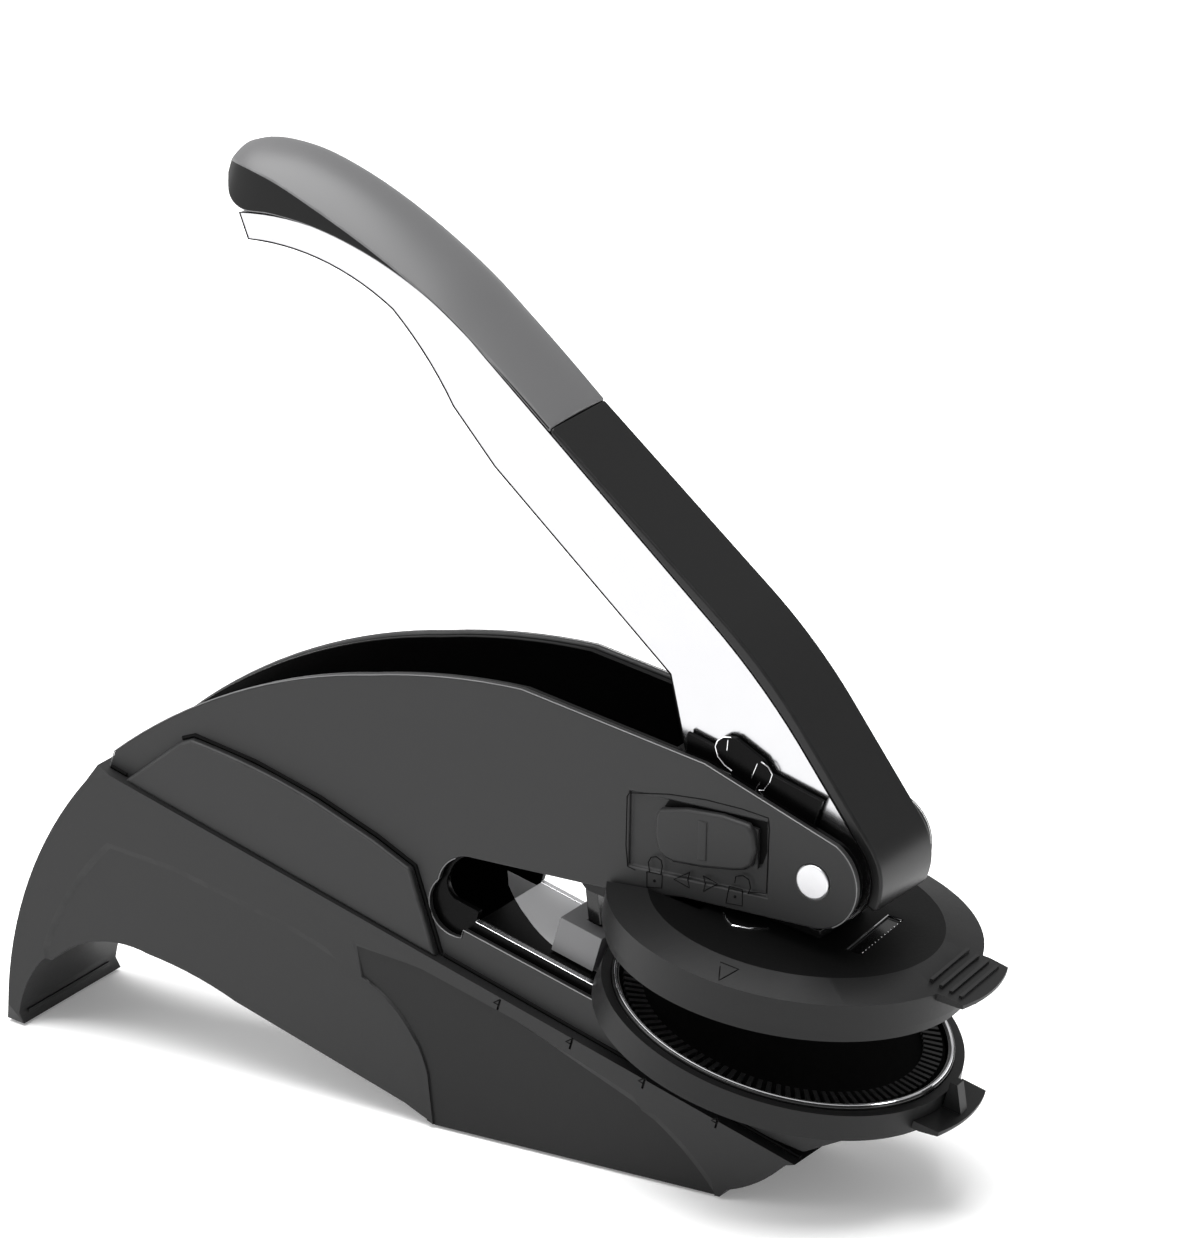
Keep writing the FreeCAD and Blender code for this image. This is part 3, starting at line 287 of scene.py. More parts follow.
def newPaint(name, **sockets):
    paint = bpy.data.materials.new(name)
    paint.use_nodes = True
    shader = paint.node_tree.nodes["Principled BSDF"]
    for label, value in sockets.items():
        shader.inputs[label.replace("_", " ")].default_value = value
    return paint, paint.node_tree, shader


def mouldedPlastic(name, look, edge=False, **sockets):
    paint, tree, shader = newPaint(name, **sockets)
    grain = useGroup(tree, mouldGrain, Colour=grey(look["tone"]), Shade=look["shade"],
                     Grain_Size=look["grain"], Grain_Depth=look["depth"], Roughness=look["rough"],
                     Spread=look["spread"])
    # bevel faces get a lighter worn colour in patches: edge wear, and also a painted highlight along the
    # edges
    if edge:
        wear = useGroup(tree, edgeWear, Worn_Colour=grey(look["tone"] * 2.4 + 0.01), Amount=look["wear"])
        tree.links.new(grain.outputs["Colour"], wear.inputs["Colour"])
        tree.links.new(wear.outputs["Colour"], shader.inputs["Base Color"])
    else:
        tree.links.new(grain.outputs["Colour"], shader.inputs["Base Color"])
    tree.links.new(grain.outputs["Roughness"], shader.inputs["Roughness"])
    tree.links.new(grain.outputs["Normal"], shader.inputs["Normal"])
    return paint


def metalFinish(name, look, **sockets):
    paint, tree, shader = newPaint(name, Metallic=1.0, **sockets)
    lines = useGroup(tree, brushLines, Stretch=look["stretch"], Line_Size=look["lines"], Depth=look["depth"],
                     Roughness=look["rough"], Spread=look["spread"])
    wear = useGroup(tree, edgeWear, Colour=grey(look["tone"]), Worn_Colour=grey(look["tone"] * 0.8),
                    Amount=look["wear"], Patch_Size=90.0)
    tree.links.new(wear.outputs["Colour"], shader.inputs["Base Color"])
    tree.links.new(lines.outputs["Roughness"], shader.inputs["Roughness"])
    tree.links.new(lines.outputs["Normal"], shader.inputs["Normal"])
    return paint


plasticKeys = ("tone", "shade", "grain", "depth", "rough", "spread", "wear", "gloss")
plastics = {
    "shell": (0.0115, 0.16, 2600, 0.09, 0.44, 0.08, 0.3, 0.27),
    # facet: the shell's colour made darker, painted shade on the base's front facet
    "facet": (0.0075, 0.16, 2600, 0.09, 0.46, 0.08, 0.3, 0.2),
    "cover": (0.012, 0.12, 3200, 0.06, 0.48, 0.07, 0.5, 0.3),
    "strip": (0.005, 0.1, 2800, 0.05, 0.34, 0.07, 0.3, 0.26),
    "grip": (0.095, 0.1, 3000, 0.05, 0.42, 0.07, 0.3, 0.45),
    # grip sides: the grip's plastic made near black, painted shade on its sides and ends
    "gripShadedSide": (0.004, 0.1, 3000, 0.05, 0.5, 0.07, 0.2, 0.14),
    "insert": (0.0075, 0.16, 2400, 0.08, 0.42, 0.09, 0.5, 0.2),
    # crown: the insert's plastic made darker, painted shade and dark reflection under the overhanging jaw
    "crown": (0.002, 0.24, 2400, 0.1, 0.5, 0.12, 0.3, 0.08),
    "die": (0.0004, 0.3, 5200, 0.3, 0.6, 0.2, 0.3, 0.03),
    "serrationHighlight": (0.006, 0.3, 5200, 0.3, 0.34, 0.15, 0.6, 0.2),
    "washer": (0.05, 0.12, 2600, 0.08, 0.5, 0.1, 0.3, 0.4),
    "rubber": (0.015, 0.2, 1800, 0.3, 0.8, 0.15, 0.3, 0.2),
    "blackSteel": (0.0012, 0.1, 900, 0.03, 0.24, 0.06, 0.4, 0.06),
    # pale grey sheets in the throat: a painted reflection on the satin steel
    "reflectionGrey": (0.42, 0.08, 1600, 0.03, 0.45, 0.06, 0.1, 0.3),
    "guideGrey": (0.15, 0.08, 1600, 0.03, 0.45, 0.06, 0.1, 0.3),
    "brightEdge": (0.11, 0.3, 1500, 0.05, 0.3, 0.1, 0.5, 0.6),
    "gloss": (0.003, 0.1, 900, 0.03, 0.2, 0.06, 0.6, 0.25),
    # near black for real marks and signs, and for painted shade and painted dark reflections
    "markAndShadeBlack": (0.001, 0.1, 1200, 0.05, 0.6, 0.06, 0.2, 0.08),
}
metalKeys = ("tone", "lines", "stretch", "depth", "rough", "spread", "wear")
metals = {
    "chrome": (0.47, 900, (0.25, 1.0, 0.25), 0.02, 0.2, 0.06, 0.15),
    # dark metal for the chrome's edges: a painted dark reflection
    "chromeRimDarkReflection": (0.035, 900, (1.0, 1.0, 1.0), 0.02, 0.3, 0.06, 0.15),
    "steel": (0.7, 2600, (1.0, 0.2, 1.0), 0.12, 0.26, 0.14, 0.3),
    "wire": (0.58, 4000, (1.0, 1.0, 0.4), 0.1, 0.28, 0.12, 0.3),
    "ring": (0.9, 700, (1.0, 1.0, 1.0), 0.55, 0.16, 0.16, 0.5),
    "pinHead": (0.6, 1500, (1.0, 1.0, 1.0), 0.06, 0.38, 0.14, 0.12),
}
paints = {}
for name, row in plastics.items():
    look = dict(zip(plasticKeys, row))
    shine = {"Specular_IOR_Level": look["gloss"]}
    if name == "gloss":
        shine.update(Coat_Weight=0.35, Coat_Roughness=0.12)
    paints[name] = mouldedPlastic(name + "Plastic", look, **shine)
    paints[name + "Edge"] = mouldedPlastic(name + "PlasticEdge", look, edge=True, **shine)
for name, row in metals.items():
    paints[name] = paints[name + "Edge"] = metalFinish(name + "Metal", dict(zip(metalKeys, row)))
# the chrome's bevel faces take the dark metal: painted dark reflection on its edges
paints["chromeEdge"] = paints["chromeRimDarkReflection"]
print("finishes mixed:", len(paints))


# Mesh helpers
def finishPiece(name, body, bm, finish, replaces=(), sharpAngle=32, normals=True, more=(),
                flat=None):
    mesh = bpy.data.meshes.new(name)
    for face in bm.faces:
        face.smooth = not (flat and flat(face))
    bm.to_mesh(mesh)
    bm.free()
    mesh.set_sharp_from_angle(angle=math.radians(sharpAngle))
    for paint in (finish, finish + "Edge", *more):
        mesh.materials.append(paints[paint])
    piece = bpy.data.objects.new(name, mesh)
    bpy.context.scene.collection.objects.link(piece)
    if normals:
        smooth = piece.modifiers.new("evenShading", "WEIGHTED_NORMAL")
        smooth.keep_sharp = True
        smooth.weight = 60
    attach(piece, body)
    if replaces:
        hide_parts(*replaces)
    return piece


def mergedCopy(node, flat=0.5):
    bm = bmesh.new()
    bm.from_mesh(nodes[node].data)
    bmesh.ops.remove_doubles(bm, verts=bm.verts, dist=0.000002)
    bmesh.ops.dissolve_limit(bm, angle_limit=math.radians(flat), verts=bm.verts, edges=bm.edges)
    return bm


def unionOf(*names):         # several CAD nodes as one closed skin
    pieces = []
    for name in names:
        bm = mergedCopy(name)
        mesh = bpy.data.meshes.new("union_" + name)
        bm.to_mesh(mesh)
        bm.free()
        piece = bpy.data.objects.new("union_" + name, mesh)
        bpy.context.scene.collection.objects.link(piece)
        pieces.append(piece)
    for other in pieces[1:]:
        join = pieces[0].modifiers.new("join", "BOOLEAN")
        join.operation, join.solver, join.object = "UNION", "EXACT", other
    bpy.context.view_layer.update()
    bm = bmesh.new()
    bm.from_object(pieces[0], bpy.context.evaluated_depsgraph_get())
    for piece in pieces:
        mesh = piece.data
        bpy.data.objects.remove(piece)
        bpy.data.meshes.remove(mesh)
    bmesh.ops.remove_doubles(bm, verts=bm.verts, dist=0.000004)
    bmesh.ops.dissolve_limit(bm, angle_limit=math.radians(0.5), verts=bm.verts, edges=bm.edges)
    return bm


def softenEdges(bm, width, segments=2, angle=25, keep=None, worn=True, clamp=False):
    sharp = [e for e in bm.edges if len(e.link_faces) == 2 and e.calc_face_angle(0) > math.radians(angle)
             and (keep is None or keep(e))]
    made = bmesh.ops.bevel(bm, geom=sharp, offset=width * mm, offset_type="OFFSET", segments=segments,
                           profile=0.5, affect="EDGES", clamp_overlap=clamp, material=-1)
    if worn:
        for face in made["faces"]:
            face.material_index = 1


def softCopy(name, node, body, finish, width, segments=2, angle=25, clamp=False):
    bm = mergedCopy(node)
    softenEdges(bm, width, segments, angle, clamp=clamp)
    return finishPiece(name, body, bm, finish, [node])


def tubeAlong(bm, points, radius, sides=8):
    start = set(bmesh.ops.create_circle(bm, cap_ends=False, radius=radius * mm, segments=sides)["verts"])
    heading = (points[1] - points[0]).normalized()
    place = Matrix.Translation(points[0]) @ heading.to_track_quat("Z", "Y").to_matrix().to_4x4()
    bmesh.ops.transform(bm, matrix=place, verts=list(start))
    rim = list({e for v in start for e in v.link_edges})
    made = set(start)
    bmesh.ops.contextual_create(bm, geom=rim)
    for number in range(1, len(points)):
        ahead = points[min(number + 1, len(points) - 1)] - points[number - 1]
        ahead.normalize()
        grown = bmesh.ops.extrude_edge_only(bm, edges=rim)["geom"]
        verts = {g for g in grown if isinstance(g, bmesh.types.BMVert)}
        rim = [g for g in grown if isinstance(g, bmesh.types.BMEdge) and all(v in verts for v in g.verts)]
        swing = heading.rotation_difference(ahead).to_matrix().to_4x4()
        move = Matrix.Translation(points[number]) @ swing @ Matrix.Translation(-points[number - 1])
        bmesh.ops.transform(bm, matrix=move, verts=list(verts))
        heading = ahead
        made |= verts
    bmesh.ops.contextual_create(bm, geom=rim)
    bmesh.ops.recalc_face_normals(bm, faces=list({f for v in made for f in v.link_faces}))


def linesAlong(bm, source, radius, keep, sides=6):     # thin tubes along chosen edges of a copied mesh
    links, used = {}, set()
    for edge in source.edges:
        if keep(edge):
            for v in edge.verts:
                links.setdefault(v, []).append(edge)
    for start in [v for v in links if len(links[v]) != 2] + list(links):
        for first in links[start]:
            chain, edge = [start], first
            while edge and edge not in used:
                used.add(edge)
                chain.append(edge.other_vert(chain[-1]))
                ahead = [e for e in links[chain[-1]] if e not in used]
                edge = ahead[0] if len(links[chain[-1]]) == 2 and ahead else None
            if len(chain) > 1:
                tubeAlong(bm, [v.co.copy() for v in chain], radius, sides)


def arcThrough(first, middle, last, steps):     # points on a circle's arc through three points
    a, b, c = Vector(first), Vector(middle), Vector(last)
    normal = (b - a).cross(c - a)
    u, v = b - a, c - a
    across = normal.cross(u) * v.length_squared + v.cross(normal) * u.length_squared
    centre = a + across / (2 * normal.length_squared)
    start, side = a - centre, normal.normalized().cross(a - centre)
    sweep = math.atan2((c - centre).dot(side), (c - centre).dot(start)) % (2 * math.pi)
    return [centre + start * math.cos(sweep * n / steps) + side * math.sin(sweep * n / steps)
            for n in range(steps + 1)]


def plateOf(bm, outline, thickness):            # a flat plate from an outline, grown along a vector
    corners = [bm.verts.new(point) for point in outline]
    face = bmesh.ops.contextual_create(bm, geom=corners)["faces"]
    grown = bmesh.ops.extrude_face_region(bm, geom=face)["geom"]
    verts = [g for g in grown if isinstance(g, bmesh.types.BMVert)]
    bmesh.ops.translate(bm, vec=thickness, verts=verts)
    made = set(corners) | set(verts)
    bmesh.ops.recalc_face_normals(bm, faces=list({f for v in made for f in v.link_faces}))
    return made


def paintNode(node, finish):
    mesh = nodes[node].data
    mesh.materials.clear()
    mesh.materials.append(paints[finish])


# Base: soft outer edges, facets whose steps are drawn out into soft slopes, and painted shade on the front
# facet
baseLook = {
    "softEdge": 0.7, "facetFace": 12.85, "frontFacet": -50.0,
    "slope": 1.0,            # how far a facet's step is drawn out
    "narrowSlope": 0.25, "narrowX": (-64.5, -50.9), "narrowTop": 21.5,       # between the two facets
    "tightSlope": 0.08, "tight": [(-53.5, -35.0, 40.0), (-67.5, -60.9, 22.5)],       # x from, x to, top
    "rearEdge": 2.4, "rearX": -109, "cornerX": -106.5,
    "footX": -125, "footTop": 1.0, "footIn": 0.4, "ledgeX": -109.5, "ledgeTop": 43.9,
    "tickX": (-40.0, -27.5, -15.4, -3.2), "tickReach": 0.9, "tickLow": 10.5,
    "tickShares": (-0.343, -0.227, -0.111, 0.005), "tickSpan": 108.9,
    "tickDown": 13.7, "tickHigh": 1.8, "tickFoot": (0.9, 0.95), "tickLine": 0.1}


def makeBase(look):
    bm = mergedCopy("base_shell")
    land, facet = press["baseHalf"] * mm - 0.00002, look["facetFace"] * mm - 0.00002

    def isWall(face):        # a step between the side and a facet
        return abs(face.normal.y) < 0.3 and all(abs(w.co.y) > facet for w in face.verts)

    def onTick(v):
        near = any(abs(fromDie(v.co) - tick) < look["tickReach"] for tick in look["tickX"])
        return near and v.co.z > look["tickLow"] * mm

    moves = []
    for v in bm.verts:
        if abs(v.co.y) > land and not onTick(v):
            walls = [f for f in v.link_faces if isWall(f)]
            crossing = [f for f in v.link_faces if abs(f.normal.y) < 0.5 and not isWall(f)]
            if len(walls) == 2 and not crossing:
                away = sum((f.normal for f in walls), Vector()).normalized()
                x = fromDie(v.co)
                narrow = look["narrowX"][0] < x < look["narrowX"][1] and v.co.z < look["narrowTop"] * mm
                tight = any(a < x < b and v.co.z < top * mm for a, b, top in look["tight"])
                reach = look["tightSlope"] if tight else look["narrowSlope"] if narrow else look["slope"]
                moves.append((v, -away * reach * mm))
    for v, move in moves:
        v.co += Vector((move.x, 0, move.z))
    slopes = {f for v, move in moves for f in v.link_faces if all(abs(w.co.y) > facet for w in f.verts)
              and any(abs(w.co.y) < land for w in f.verts) and abs(f.normal.y) < 0.999}
    bm.normal_update()
    for face in bm.faces:
        middle = face.calc_center_bounds()
        # the slopes take the lighter edge paint: a painted highlight line along each facet's border
        if face in slopes:
            face.material_index = 1
        # the front facet takes the darker facet paint: painted shade towards the lower front
        elif facet < abs(middle.y) < land and fromDie(middle) > look["frontFacet"]:
            face.material_index = 2

    def onOutline(edge, level):
        walls = [f for v in edge.verts for f in v.link_faces if f in slopes or isWall(f)]
        turned = [f for f in edge.link_faces
                  if abs(f.normal.y) < 0.5 and any(abs(w.co.y) < 12 * mm for w in f.verts)]
        return all(abs(v.co.y) > level for v in edge.verts) and not walls and turned

    def onRear(edge):
        rearward = [f for f in edge.link_faces
                    if f.normal.x < -0.2 or (f.normal.z < -0.9 and abs(f.normal.y) < 0.3)]
        return rearward and onOutline(edge, land) and all(fromDie(v.co) < look["rearX"] for v in edge.verts)

    # The long ledge edges get a point near the rear corner, so that only a small face bends there
    rails = [edge for edge in bm.edges if all(abs(v.co.y) > land for v in edge.verts)
             and max(v.co.z for v in edge.verts) > look["ledgeTop"] * mm and edge.calc_length() > 10 * mm]
    bmesh.ops.bisect_plane(bm, geom=rails, dist=0.000001, plane_no=(1, 0, 0),
                           plane_co=((press["centreX"] + look["cornerX"]) * mm, 0, 0))
    softenEdges(bm, look["rearEdge"], 6, 25, onRear, worn=False)
    inward, ends = look["rearEdge"] * 0.3 * mm, []
    for v in bm.verts:       # where the round ends, its corner is drawn in as well
        atFoot = fromDie(v.co) < look["footX"] and v.co.z < look["footTop"] * mm
        atLedge = fromDie(v.co) < look["ledgeX"] and v.co.z > look["ledgeTop"] * mm
        if abs(v.co.y) > land and (atFoot or atLedge):
            ends.append((v, look["footIn"] * mm if atFoot else inward))
    for v, ahead in ends:
        side = next(f for f in v.link_faces if abs(f.normal.y) > 0.99)
        beside = [edge.other_vert(v) for edge in v.link_edges if edge in side.edges[:]]
        bmesh.ops.connect_verts(bm, verts=beside, check_degenerate=False)
        v.co += Vector((ahead, math.copysign(inward, -v.co.y), 0))
    softenEdges(bm, look["softEdge"], 3, 25, lambda edge: onOutline(edge, land), clamp=True)
    finishPiece("baseBody", "frame", bm, "shell", ["base_shell"], sharpAngle=24,
                more=["facet"], flat=lambda face: min(abs(v.co.y) for v in face.verts) > facet)


def makeTickFeet(look):          # each alignment mark has a small slanted foot
    bm = bmesh.new()
    for share in look["tickShares"]:
        x = share * look["tickSpan"]
        wide, high = look["tickFoot"]
        top = -look["tickDown"] + look["tickHigh"] / 2
        for side in (-1, 1):
            y = side * press["baseHalf"]
            corners = [(x, top), (x - wide, top - high), (x, top - high)]
            tubeAlong(bm, [diePoint(cx, y, cz) for cx, cz in corners], look["tickLine"], 6)
    finishPiece("tickFeet", "frame", bm, "markAndShadeBlack", normals=False)


makeBase(baseLook)
makeTickFeet(baseLook)
for foot in ("front_foot_pad", "rear_foot_pad"):
    softCopy(foot + "_soft", foot, "frame", "rubber", 0.35)
print("base done")

# Side plates, covers and name panels
sideLook = {"coverEdge": 0.3, "plateEdge": 0.14, "jawTop": -5.3, "jawX": (-52, 21), "panelEdge": 0.45,
            "shadowAndSeamRadius": 0.34, "shadowOut": 0.30, "ledgeSeam": 0.30, "lineRadius": 0.09,
            "ledgeRuns": ((-107.6, -104.9), (-50.2, 9.5))}
panelOutline = [(-104.5, 42.7), (-95.0, 50.6), (-93.1, 51.4), (-82.6, 49.5), (-71.6, 46.3), (-61.8, 42.4),
                (-55.5, 39.3), (-51.0, 26.75)]
ledgeLine = [(-109.8, 44.2), (9.8, 8.3)]


def makePlate(name, node, look):
    bm = mergedCopy(node)
    softenEdges(bm, look["plateEdge"], 2, 25)
    for face in bm.faces:       # the cut edge of the lower jaw is painted bright steel, a painted highlight
        x, z = dieFrame(face.calc_center_median())
        onTop = abs(z - look["jawTop"]) < 0.4 and look["jawX"][0] < x < look["jawX"][1]
        if onTop and abs(face.normal.y) < 0.7:
            face.material_index = 2
    finishPiece(name, "frame", bm, "blackSteel", [node], more=["steel"])


def makeEdgeLines(look):        # light lines where the covers' edges catch the light
    bm = bmesh.new()
    for node, side in (("near_side_cover", -1), ("far_side_cover", 1)):
        source = mergedCopy(node)
        face = side * press["coverFace"] * mm

        def lit(edge):
            walls = [f for f in edge.link_faces
                     if abs(f.normal.y) < 0.5 and (f.normal.z > 0.2 or f.normal.x > 0.5)
                     and min(abs(w.co.y) for w in f.verts) < 9.9 * mm]
            return walls and all(abs(v.co.y - face) < 0.03 * mm for v in edge.verts)
        linesAlong(bm, source, look["lineRadius"], lit)
        source.free()
    finishPiece("edgeLines", "frame", bm, "brightEdge", normals=False)


def makePanelShadowAndSeams(look):            # dark lines round the panels, painted shadow along their raised edges, and dark joint lines along the base's ledge
    bm = bmesh.new()
    slope = (ledgeLine[1][1] - ledgeLine[0][1]) / (ledgeLine[1][0] - ledgeLine[0][0])
    for side in (-1, 1):
        y = side * (press["coverFace"] + 0.02)
        outline = [Vector((x, 0, z)) for x, z in panelOutline]
        offset = []
        for number, point in enumerate(outline):
            before, after = outline[max(number - 1, 0)], outline[min(number + 1, len(outline) - 1)]
            along = (after - before).normalized()
            offset.append(point + Vector((-along.z, 0, along.x)) * look["shadowOut"])
        tubeAlong(bm, [deskPoint(p.x, y, p.z) for p in offset[1:]], look["shadowAndSeamRadius"], 8)
        for run in look["ledgeRuns"]:
            points = [deskPoint(x, y, ledgeLine[0][1] + slope * (x - ledgeLine[0][0]) + look["ledgeSeam"])
                      for x in run]
            tubeAlong(bm, points, look["shadowAndSeamRadius"] * 0.9, 8)
    finishPiece("panelShadowAndJointLines", "frame", bm, "markAndShadeBlack", normals=False)


softCopy("nearCover", "near_side_cover", "frame", "cover", sideLook["coverEdge"], 3)
softCopy("farCover", "far_side_cover", "frame", "cover", sideLook["coverEdge"], 3)
makePlate("nearPlate", "near_frame_plate", sideLook)
makePlate("farPlate", "far_frame_plate", sideLook)
softCopy("nearPanel", "near_name_panel", "frame", "cover", sideLook["panelEdge"], 3)
softCopy("farPanel", "far_name_panel", "frame", "cover", sideLook["panelEdge"], 3)
makePanelShadowAndSeams(sideLook)
makeEdgeLines(sideLook)

# Inside the throat: pale grey sheets on the far plate and on the die deck, a painted reflection of the bright
# room in the satin steel
throatReflectionLook = {"plateFace": 8.6, "deckFace": -5.3, "thick": 0.05,
            "onPlate": [(-51.6, -6.2), (-50.8, -8.3), (-48.9, -10.2), (-46.5, -11.8), (-43.9, -13.1),
                        (-40.8, -14.0), (-36.7, -14.4), (-28.0, -14.4), (-28.0, -5.9), (-40.0, -5.9)],
            "onDeck": [(-45.9, 1.05), (-43.7, -0.7), (-41.75, -2.02), (-40.0, -3.2), (-38.2, -4.2),
                       (-36.4, -5.0), (-34.6, -5.58), (-31.5, -5.9), (-27.0, -6.0), (-27.0, 8.4),
                       (-45.9, 8.4)]}


def makeThroatReflection(look):
    bm = bmesh.new()
    plateOf(bm, [diePoint(x, look["plateFace"], z) for x, z in look["onPlate"]],
            Vector((0, -look["thick"] * mm, 0)))
    up = diePoint(0, 0, look["thick"]) - diePoint(0, 0, 0)
    plateOf(bm, [diePoint(x, y, look["deckFace"]) for x, y in look["onDeck"]], up)
    finishPiece("throatReflection", "frame", bm, "reflectionGrey", normals=False)


makeThroatReflection(throatReflectionLook)
softCopy("pivotPinHead", "pivot_pin", "frame", "pinHead", 0.28, 4)
softCopy("dieDeck", "die_deck", "frame", "blackSteel", 0.2)
softCopy("springSeat", "spring_seat", "frame", "blackSteel", 0.15)
for node, finish in (("frame_spacers", "steel"), ("frame_rivets", "steel"), ("pin_washers", "washer"),
                     ("return_spring", "wire")):
    paintNode(node, finish)
print("frame done")

# Lever: chrome channel with a dark rim line painted as its dark reflection, black strip, and a grip lofted
# through its sections, its sides painted in shade
gripLook = {
    "length": 121.7, "rise": 59.0, "halfWidth": 8.4, "crown": 3.4, "between": 5, "arc": 12, "softEdge": 0.22,
    "sections": [   # along the lever, foot, top of the side, half width, crown
        (-0.4930, 0.7285, 0.7420, 0.893, 0.10), (-0.5500, 0.7845, 0.7970, 0.905, 0.32),
        (-0.6100, 0.8430, 0.8500, 0.930, 0.58), (-0.6750, 0.8975, 0.9030, 0.965, 0.80),
        (-0.7400, 0.9290, 0.9410, 0.990, 0.94), (-0.8000, 0.9410, 0.9680, 1.000, 1.00),
        (-0.8600, 0.9360, 0.9870, 0.990, 0.98), (-0.9150, 0.9125, 0.9975, 0.940, 0.86),
        (-0.9550, 0.8825, 0.9940, 0.860, 0.72), (-0.9820, 0.8900, 0.9830, 0.720, 0.62),
        (-1.0000, 0.9280, 0.9660, 0.480, 0.50)]}


def smoothRows(rows, between):      # rows of values, with smooth rows added between them
    smooth = []
    for number in range(len(rows) - 1):
        a, b = rows[max(number - 1, 0)], rows[number]
        c, d = rows[number + 1], rows[min(number + 2, len(rows) - 1)]
        for step in range(between):
            t = step / between
            smooth.append([0.5 * (2 * q + (r - p) * t + (2 * p - 5 * q + 4 * r - s) * t ** 2
                                  + (3 * q - p - 3 * r + s) * t ** 3) for p, q, r, s in zip(a, b, c, d)])
    smooth.append(list(rows[-1]))
    return smooth


def makeGrip(look):
    def section(row):
        along, foot, top, wide, crown = row
        x = press["pin"][0] + along * look["length"]
        low, high = (press["pin"][1] + share * look["rise"] for share in (foot, top))
        half, up = wide * look["halfWidth"], max(crown, 0.02) * look["crown"]
        arch = arcThrough((half, high, 0), (0, high + up, 0), (-half, high, 0), look["arc"])
        ring = [(-half, low), (half, low)] + [(p.x, p.y) for p in arch]
        return [diePoint(x, y, z) for y, z in ring]

    rows = smoothRows(look["sections"], look["between"])
    bm = bmesh.new()
    ring = [bm.verts.new(point) for point in section(rows[0])]
    flank = set(ring[:3] + ring[-1:])
    rim = [bm.edges.new((ring[n - 1], ring[n])) for n in range(len(ring))]
    bmesh.ops.contextual_create(bm, geom=rim)
    for row in rows[1:]:
        grown = bmesh.ops.extrude_edge_only(bm, edges=rim)["geom"]
        verts = {g for g in grown if isinstance(g, bmesh.types.BMVert)}
        rim = [g for g in grown if isinstance(g, bmesh.types.BMEdge) and all(v in verts for v in g.verts)]
        nextRing = [next(e.other_vert(v) for e in v.link_edges if e.other_vert(v) in verts) for v in ring]
        for vert, point in zip(nextRing, section(row)):
            vert.co = point
        ring = nextRing
        flank |= set(ring[:3] + ring[-1:])
    bmesh.ops.contextual_create(bm, geom=rim)
    bmesh.ops.recalc_face_normals(bm, faces=bm.faces)
    for face in bm.faces:
        # flanks and end caps take the darker paint: painted shade on the grip's sides
        face.material_index = 2 if all(v in flank for v in face.verts) or len(face.verts) > 4 else 0
    softenEdges(bm, look["softEdge"], 2, 28)
    finishPiece("leverGrip", "lever", bm, "grip", ["lever_grip"], sharpAngle=30,
                more=["gripShadedSide"])


channelLook = {"softEdge": 0.12, "hubDark": 12.0, "outside": 7.3, "darkReflectionLine": 0.13}


def makeChannel(look):          # polished channel, with a dark line round the outside of its cheeks, painted as their dark reflection
    bm = mergedCopy("lever_channel")
    softenEdges(bm, look["softEdge"])
    hub = diePoint(press["pin"][0], 0, press["pin"][1])
    for face in bm.faces:       # round the hub the channel is as dark as its strip
        middle = face.calc_center_median() - hub
        if abs(face.normal.y) < 0.5 and math.hypot(middle.x, middle.z) < look["hubDark"] * mm:
            face.material_index = 2
    finishPiece("leverChannel", "lever", bm, "chrome", ["lever_channel"], more=["strip"])
    source, bm = mergedCopy("lever_channel"), bmesh.new()
    level = look["outside"] * mm
    linesAlong(bm, source, look["darkReflectionLine"], lambda e: all(abs(abs(v.co.y) - level) < 0.00003 for v in e.verts)
               and any(abs(f.normal.y) < 0.5 for f in e.link_faces)
               and any(abs(f.normal.y) > 0.9 for f in e.link_faces))
    source.free()
    finishPiece("channelRimDarkReflection", "lever", bm, "markAndShadeBlack", normals=False)


makeChannel(channelLook)
softCopy("leverStrip", "lever_cover", "lever", "strip", 0.45, 3)
makeGrip(gripLook)
paintNode("lever_bush", "washer")
print("lever done")

# Press block and shoe
softCopy("pressBlock", "press_block", "plunger", "insert", 0.25)
softCopy("pressShoe", "press_shoe", "plunger", "gloss", 0.12)

# Lower half of the die insert
lowerLook = {"guideX": -27.35, "guideZ": -5.1, "guideHalf": 7.05, "tabEdge": 0.2, "ringEdge": 0.3,
             "lineRadius": 25.0, "lineHigh": 0.52, "lineThick": 0.2, "lineSteps": 180,
             "toothEdge": 0.06, "toothLow": -0.48, "toothRadius": 18}


def makeLowerHolder(look):
    bm = unionOf("lower_holder", "lower_tab", "strap_guide")
    softenEdges(bm, look["tabEdge"], 3, 28, clamp=True)
    for face in bm.faces:       # the strap's guide is of lighter satin plastic
        middle = face.calc_center_median()
        x, z = dieFrame(middle)
        if x < look["guideX"] and z > look["guideZ"] and abs(middle.y) < look["guideHalf"] * mm:
            face.material_index = 2
    finishPiece("lowerHolder", "insert", bm, "insert",
                ["lower_holder", "lower_tab", "strap_guide"], sharpAngle=24, more=["guideGrey"])


